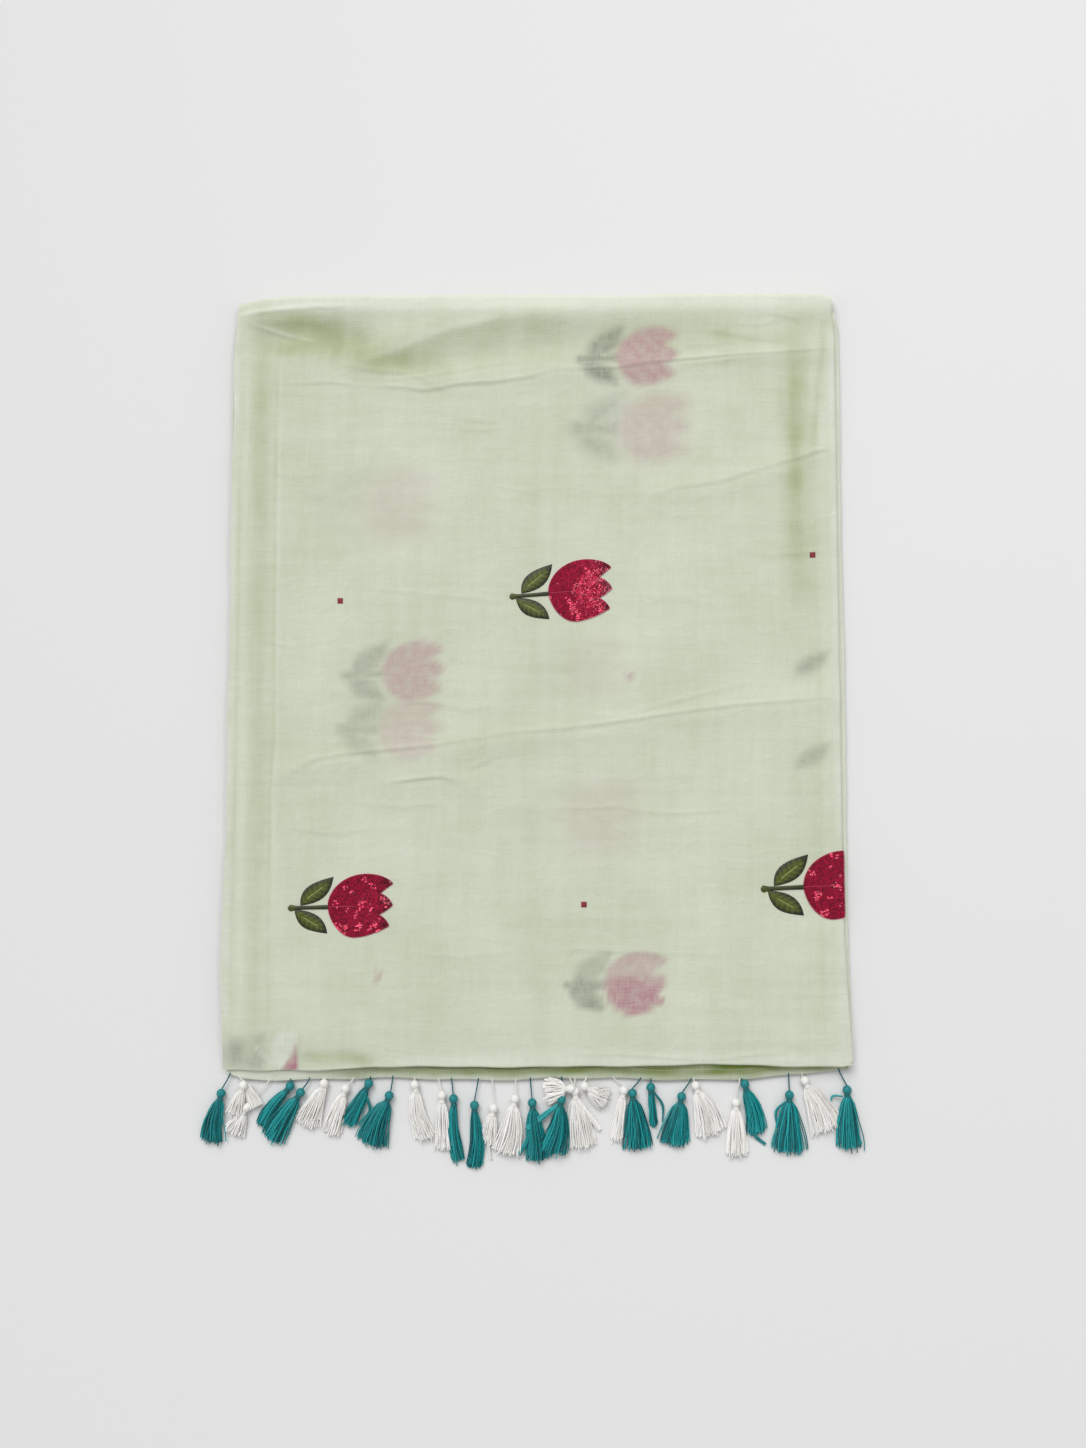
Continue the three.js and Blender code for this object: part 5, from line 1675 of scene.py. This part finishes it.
# %% Where the tassels lie
TEAL = "teal"
WHITE = "white"
TASSELS = [
    # colour, hem x, head x, head y, tip x, tip y, spread, sideways bend, lift
    (TEAL, -275, -283.3, -378.5, -290.5, -419.4, 23, 2, 0),
    (WHITE, -267, -262.9, -371, -270.2, -395.5, 16, 0, 3.5),
    (WHITE, -239, -261, -391, -272.6, -412, 20, 0, 0),
    (TEAL, -221, -222, -372, -246.4, -405.7, 14, 2, 0),
    (TEAL, -203.7, -212.6, -377.8, -237.4, -418, 23, 1, 0),
    (WHITE, -191.5, -191.5, -370, -207.1, -405, 22, 0, 0),
    (WHITE, -164.4, -172, -374.4, -185.1, -411.9, 19, 0, 0),
    (TEAL, -149.5, -151.5, -370, -169.2, -405, 17, 0, 0),
    (TEAL, -129.2, -133, -380.5, -147.9, -422, 32, 2, 0),
    (WHITE, -109.7, -109.7, -371.2, -99.3, -416.9, 21, 3, 0),
    (WHITE, -88.7, -85.5, -380.5, -84.1, -425.5, 18, 0, 0),
    (TEAL, -76.9, -75, -383.3, -71.1, -436.2, 14, 2, 0),
    (TEAL, -52.7, -56.3, -389, -56.3, -441.9, 16, -2, 0),
    (WHITE, -40.5, -39.6, -391.9, -44.4, -419, 18, 0, 0),
    (WHITE, -19.4, -20.2, -383.3, -29.2, -429, 26, -2, 1.4),
    (TEAL, -6.4, -4.6, -386.9, -0.3, -435.5, 23, 0, 0),
    (TEAL, 21.8, 21.4, -384, 13.4, -429.7, 26, -2, 1.6),
    (WHITE, 29, 29, -373, 7.7, -374.5, 25, 0, 2.6),
    (WHITE, 33.7, 33.7, -376.9, 40.2, -424, 28, 0, 0),
    (WHITE, 44, 43, -371.5, 61, -383.5, 20, 0, 2.0),
    (WHITE, 67.6, 77, -376, 70.5, -418.3, 12, 0, 0),
    (TEAL, 92.7, 85.2, -378.5, 90.4, -425.7, 29, -1, 0),
    (TEAL, 101.6, 101.6, -373.3, 103.9, -406, 8, 0, 0),
    (TEAL, 138.2, 128.9, -381.4, 121.8, -422, 30, 0, 0),
    (WHITE, 140.2, 141.9, -371.8, 155.4, -413, 29, -2, 0),
    (WHITE, 181.5, 177.5, -386.9, 178.5, -431.6, 22, 0, 0),
    (TEAL, 182.5, 186, -370.3, 195.7, -412.4, 21, -2, 0),
    (TEAL, 225, 225.5, -380, 224.8, -428.7, 29, 0, 0),
    (WHITE, 236.7, 239.7, -367.4, 259.1, -409.5, 32, -2, 0),
    (TEAL, 269.6, 277.3, -375.5, 279.3, -425, 26, 0, 0),
]
# A few locks of yarn leave their tassel and lie beside it or over the next one.
LOCKS = {
    # tassel: start, middle, end, yarns, width at the end, height at the end
    2: ((-259.5, -370), (-256, -379), (-251, -389), 34, 15, 3.0),
    6: ((-190, -370), (-193, -385), (-196, -401), 14, 5, 1.0),
    8: ((-154, -378), (-147, -393), (-160, -405), 9, 2.5, 1.0),
    14: ((-43.5, -410), (-44, -424), (-41.5, -436), 7, 3, 0.5),
    16: ((-4, -400), (-7.5, -417), (-16.2, -431), 12, 4, 3.5),
    17: ((19.5, -387), (8, -395), (-9, -408.5), 14, 6, 4.0),
    19: ((36, -383), (48, -400), (56, -410), 14, 5, 1.0),
    23: ((103, -375), (114, -388), (112, -403), 4, 1.5, 0.3),
    27: ((188, -402), (194, -416), (204, -423), 5, 4, 0.3),
    28: ((223, -384), (212, -392), (215, -408), 5, 2, 1.0),
    30: ((273, -380), (264, -379), (263, -387), 4, 1.5, 0.3),
}
HEAD_RADIUS = 3.9
HEAD_LENGTH = 10
NECK_DISC = 2.2
YARN_RADIUS = 0.56
YARN_STATIONS = 8
YARNS_LEAST = 50
YARNS_PER_SPREAD = 1.6
GROUND_AIR = 0.15
GOLDEN_ANGLE = np.pi * (3 - np.sqrt(5))


# %% A tassel's skirt
def tassel_frame(row):
    """The head's middle, the directions along, aside and up, and the skirt's length."""
    _, _, head_x, head_y, tip_x, tip_y, _, _, lift = row
    head = np.array([head_x, head_y, GROUND_AIR + HEAD_RADIUS + lift])
    along = np.array([tip_x - head_x, tip_y - head_y, 0.0])
    length = np.linalg.norm(along)
    along /= length
    return head, along, np.array([along[1], -along[0], 0.0]), length


def skirt(row, draw):
    """Lines of the skirt's yarns. They leave the neck packed in a disc, one sunflower step
    apart, and end in a flat heap as wide as the spread. Each has its own length and waves."""
    *_, spread, bend, lift = row
    head, along, aside, length = tassel_frame(row)
    count = int(YARNS_LEAST + YARNS_PER_SPREAD * spread)
    k = np.arange(count)
    rho, phi = np.sqrt((k + 0.5) / count), GOLDEN_ANGLE * k
    side, rise = rho * np.cos(phi), rho * np.sin(phi)
    share = np.linspace(0, 1, YARN_STATIONS)[None, :]
    start = 0.42 * HEAD_LENGTH
    reach = length + draw.normal(0, 1.2, count) - 2.2 * np.abs(side) ** 3
    reach = reach + (draw.random(count) < 0.06) * draw.uniform(1, 4, count)
    forward = start + share * (reach - start)[:, None]
    fan = 0.5 * spread - YARN_RADIUS
    end_side = fan * np.clip(side + draw.normal(0, 0.05, count), -1.05, 1.05)
    lateral = mix(NECK_DISC * side[:, None], end_side[:, None], share**0.52)
    wave = draw.uniform(0.3, 1.2, count)[:, None] * share
    turns = draw.uniform(0.5, 1.3, count)[:, None]
    lateral = lateral + wave * np.sin(2 * np.pi * turns * share + 6 * phi[:, None])
    strand = draw.integers(0, 7, count)
    strand_bend = draw.normal(0, 0.055 * spread, 7)[strand][:, None]
    lateral = lateral + strand_bend * np.sin(2.2 * share) * share + bend * np.sin(np.pi * share)
    pile = np.clip(0.12 * spread, 1.6, 2.8)
    low = GROUND_AIR + YARN_RADIUS + lift
    end_height = low + pile * (rise + 1) * (1 - 0.5 * side**2)
    start_height = head[2] + NECK_DISC * rise
    belly = 0.9 * np.sin(np.pi * share) * np.maximum(rise, 0)[:, None]
    height = mix(start_height[:, None], end_height[:, None], ramp(share, 0, 1.05)) + belly
    height = height + 0.3 * wave * np.cos(9 * share + phi[:, None])
    flat = head[:2] + forward[..., None] * along[:2] + lateral[..., None] * aside[:2]
    return raised(flat, np.maximum(height, low))


def raised(flat, height):
    """Yarns at a height, or on the hem where they lie over it, piled as they were."""
    above = ramp(flat[..., 1] - hem_edge(flat[..., 0]), -4, 0)
    on_hem = PALLU_LIP_LEVEL + YARN_RADIUS + 0.35 * height
    height = mix(height, np.maximum(height, on_hem), above)
    return np.concatenate([flat, height[..., None]], axis=-1)


def lock(tassel, start, middle, end, yarns, width, lift):
    """Lines of a lock's yarns: they follow one curve from the tassel's body to the ground,
    side by side and piled at first and further apart at the end."""
    centre = bezier(start, middle, middle, end, YARN_STATIONS)
    along = np.gradient(centre, axis=0)
    aside = unit(np.stack([along[:, 1], -along[:, 0]], axis=-1))
    k = np.arange(yarns)
    rho, phi = np.sqrt((k + 0.5) / yarns), GOLDEN_ANGLE * (k + tassel)
    side, rise = rho * np.cos(phi), rho * np.sin(phi)
    share = np.linspace(0, 1, YARN_STATIONS)
    half = mix(min(0.14 * np.sqrt(yarns) * 3, 0.5 * width), 0.5 * width, share)
    wavy = 0.5 * np.sin(5 * share + phi[:, None]) * share
    flat = centre + (half * side[:, None] + wavy)[..., None] * aside
    low = GROUND_AIR + YARN_RADIUS
    top = mix(HEAD_RADIUS, lift, ramp(share, 0, 0.9))
    height = low + top + 0.16 * np.sqrt(yarns) * (rise[:, None] + 1) + 0 * share
    return raised(flat, height)


# %% A tassel's head and cord
HEAD_PROFILE = [
    # share of the head's length from the cord, share of the head's radius
    (0.00, 0.16),
    (0.04, 0.44),
    (0.14, 0.80),
    (0.32, 1.00),
    (0.50, 1.00),
    (0.64, 0.82),
    (0.71, 0.68),
    (0.92, 0.66),
    (0.96, 0.76),
    (1.00, 0.80),
]
HEAD_STEPS = 26
HEAD_SIDES = 30
NECK_FROM = 0.69
NECK_TO = 0.94


def head(row):
    """Ball and neck: a turned profile along the tassel, with eleven ridges of yarn down the
    ball and the coils of the tie round the neck."""
    middle, along, aside, _ = tassel_frame(row)
    share = np.linspace(0, 1, HEAD_STEPS)[:, None]
    places, radii = np.array(HEAD_PROFILE).T
    radius = HEAD_RADIUS * np.interp(share, places, radii)
    angle = circle(HEAD_SIDES)[None, :]
    tied = ramp(share, NECK_FROM - 0.03, NECK_FROM) * (1 - ramp(share, NECK_TO, NECK_TO + 0.03))
    loose = (1 - tied) * np.sin(np.pi * np.minimum(share, 0.95))
    down = 0.05 * np.cos(11 * angle + 2.5 * share) * loose
    coils = 0.06 * np.cos(2 * np.pi * share * HEAD_LENGTH / 0.9 + angle) * tied
    size = radius * (1 + down + coils)
    forward = HEAD_LENGTH * (share - 0.5)
    ring = np.cos(angle)[..., None] * aside + np.sin(angle)[..., None] * UP
    centre = middle + forward[..., None] * along
    points = centre + size[..., None] * ring
    points[..., 2] = np.maximum(points[..., 2], GROUND_AIR)
    return points


CORD_STATIONS = 26
CORD_PLY_RADIUS = 0.36
CORD_TWIST_PITCH = 3.0


def cord(row):
    """Two plies twisted round each other, from the hem down to the ground and to the head."""
    hem_x = row[1]
    middle, along, _, _ = tassel_frame(row)
    start = np.array([hem_x, hem_edge(hem_x) + 1.6, PALLU_LIP_LEVEL + 0.9])
    lip_x = mix(hem_x, middle[0], 0.1)
    lip = np.array([lip_x, hem_edge(hem_x) - 1.8, PALLU_LIP_LEVEL + 0.4])
    end = middle - 0.5 * HEAD_LENGTH * along
    line = bezier(start, lip, mix(lip, end, 0.55) - np.array([0, 0, 0.8]), end, CORD_STATIONS)
    passed = np.concatenate([[0], np.cumsum(np.linalg.norm(np.diff(line, axis=0), axis=1))])
    turn = 2 * np.pi * passed / CORD_TWIST_PITCH
    tangent = np.gradient(line, axis=0)
    level = unit(np.cross(tangent, UP))
    upright = unit(np.cross(level, tangent))
    swing = CORD_PLY_RADIUS * (np.cos(turn)[:, None] * level + np.sin(turn)[:, None] * upright)
    plies = np.stack([line + swing, line - swing])
    plies[..., 2] = np.maximum(plies[..., 2], GROUND_AIR + CORD_PLY_RADIUS)
    return plies


# %% All tassels
CORD_SHADE = 0.12


def tassel_mesh(number, row):
    """One tassel as one body, with a shade for each yarn, for the cord and down the head."""
    draw = np.random.default_rng(1000 + number)
    yarns = skirt(row, draw)
    if number in LOCKS:
        yarns = np.concatenate([yarns, lock(number, *LOCKS[number])])
    tubes = [(yarns, YARN_RADIUS, 3), (cord(row), 1.15 * CORD_PLY_RADIUS, 5)]
    vertices, (quads, triangles) = several_tubes(tubes)
    yarn_shades = np.clip(0.52 + draw.normal(0, 0.33, len(yarns)), 0, 1)
    cords = len(vertices) - len(yarns) * (3 * YARN_STATIONS + 2)
    places = np.linspace(0, 1, HEAD_STEPS)
    ball_shade = 0.46 - 0.28 * ramp(places, NECK_FROM - 0.06, NECK_FROM)
    shades = [
        np.repeat(yarn_shades, 3 * YARN_STATIONS),
        np.tile(yarn_shades, 2),
        np.full(cords, CORD_SHADE),
        np.repeat(ball_shade, HEAD_SIDES),
    ]
    ball = np.arange(HEAD_STEPS * HEAD_SIDES).reshape(HEAD_STEPS, HEAD_SIDES) + len(vertices)
    ends = np.stack([ball[0], ball[-1, ::-1]])
    faces = (np.concatenate([quads, ring_faces(ball)]), triangles, ends)
    vertices = np.concatenate([vertices, head(row).reshape(-1, 3)])
    return (vertices, faces), np.concatenate(shades)


floss_of = {TEAL: (teal_floss, "teal_thread"), WHITE: (white_floss, "white_thread")}
for number, row in enumerate(TASSELS, start=1):
    body, shade = tassel_mesh(number, row)
    name = f"tassel_{number:02d}"
    new_piece(f"{name}_yarn", body, *floss_of[row[0]], (name,), shade=shade)

# %% [markdown]

# %% [markdown]
# ## Floor, light and camera
# The packet lies on a plain pale ground. A large soft light comes from beyond its top fold and
# a little from the left, as from a far window, and is even over the ground. A pale room lights
# it from all round, and a small brighter lamp makes the sequins flash.

# %% Floor
FLOOR_HALF = 3.0
FLOOR_LEVEL = -0.0002
floor_mesh = bpy.data.meshes.new("floor")
corners = [(-1, -1), (1, -1), (1, 1), (-1, 1)]
places = [(FLOOR_HALF * x, FLOOR_HALF * y, FLOOR_LEVEL) for x, y in corners]
floor_mesh.from_pydata(places, [], [(0, 1, 2, 3)])
floor = bpy.data.objects.new("floor", floor_mesh)
bpy.context.scene.collection.objects.link(floor)
floor_material, tree = new_material("pale matte ground")
finish(tree, {"Base Color": linear("#E9E9E9"), "Roughness": 0.95})
floor_mesh.materials.append(floor_material)


# %% Light
def lamp(name, kind, place, width, energy):
    """A lamp at a place in metres that faces the packet. Its width is an angle in degrees for
    a far light and a length in metres for a near one."""
    data = bpy.data.lights.new(name, kind)
    data.energy = energy
    if kind == "SUN":
        data.angle = np.radians(width)
    else:
        data.size = width
    lamp_object = bpy.data.objects.new(name, data)
    lamp_object.location = place
    away = np.array(place, dtype=float) / np.linalg.norm(place)
    tilt, turn = float(np.arccos(away[2])), float(np.arctan2(away[0], -away[1]))
    lamp_object.rotation_euler = (tilt, 0, turn)
    bpy.context.scene.collection.objects.link(lamp_object)


ROOM_STRENGTH = 0.515
lamp("window", "SUN", (-0.7, 1.8, 2.0), 34, 1.58)
lamp("spark", "AREA", (0.55, 0.9, 1.6), 0.25, 4)
world = bpy.data.worlds.new("pale room")
world.use_nodes = True
world.node_tree.nodes["Background"].inputs["Color"].default_value = (1, 1, 1, 1)
world.node_tree.nodes["Background"].inputs["Strength"].default_value = ROOM_STRENGTH
bpy.context.scene.world = world
bpy.context.scene.view_settings.view_transform = "Standard"

# %% Camera
CAMERA_PLACE = (0.005, -0.1308, 1.1881)
CAMERA_TILT = 4.086
LENS = 32.32
camera_data = bpy.data.cameras.new("camera")
camera_data.lens = LENS
camera_data.sensor_width = 36
camera = bpy.data.objects.new("camera", camera_data)
camera.location = CAMERA_PLACE
camera.rotation_euler = (np.radians(CAMERA_TILT), 0, 0)
bpy.context.scene.collection.objects.link(camera)
bpy.context.scene.camera = camera
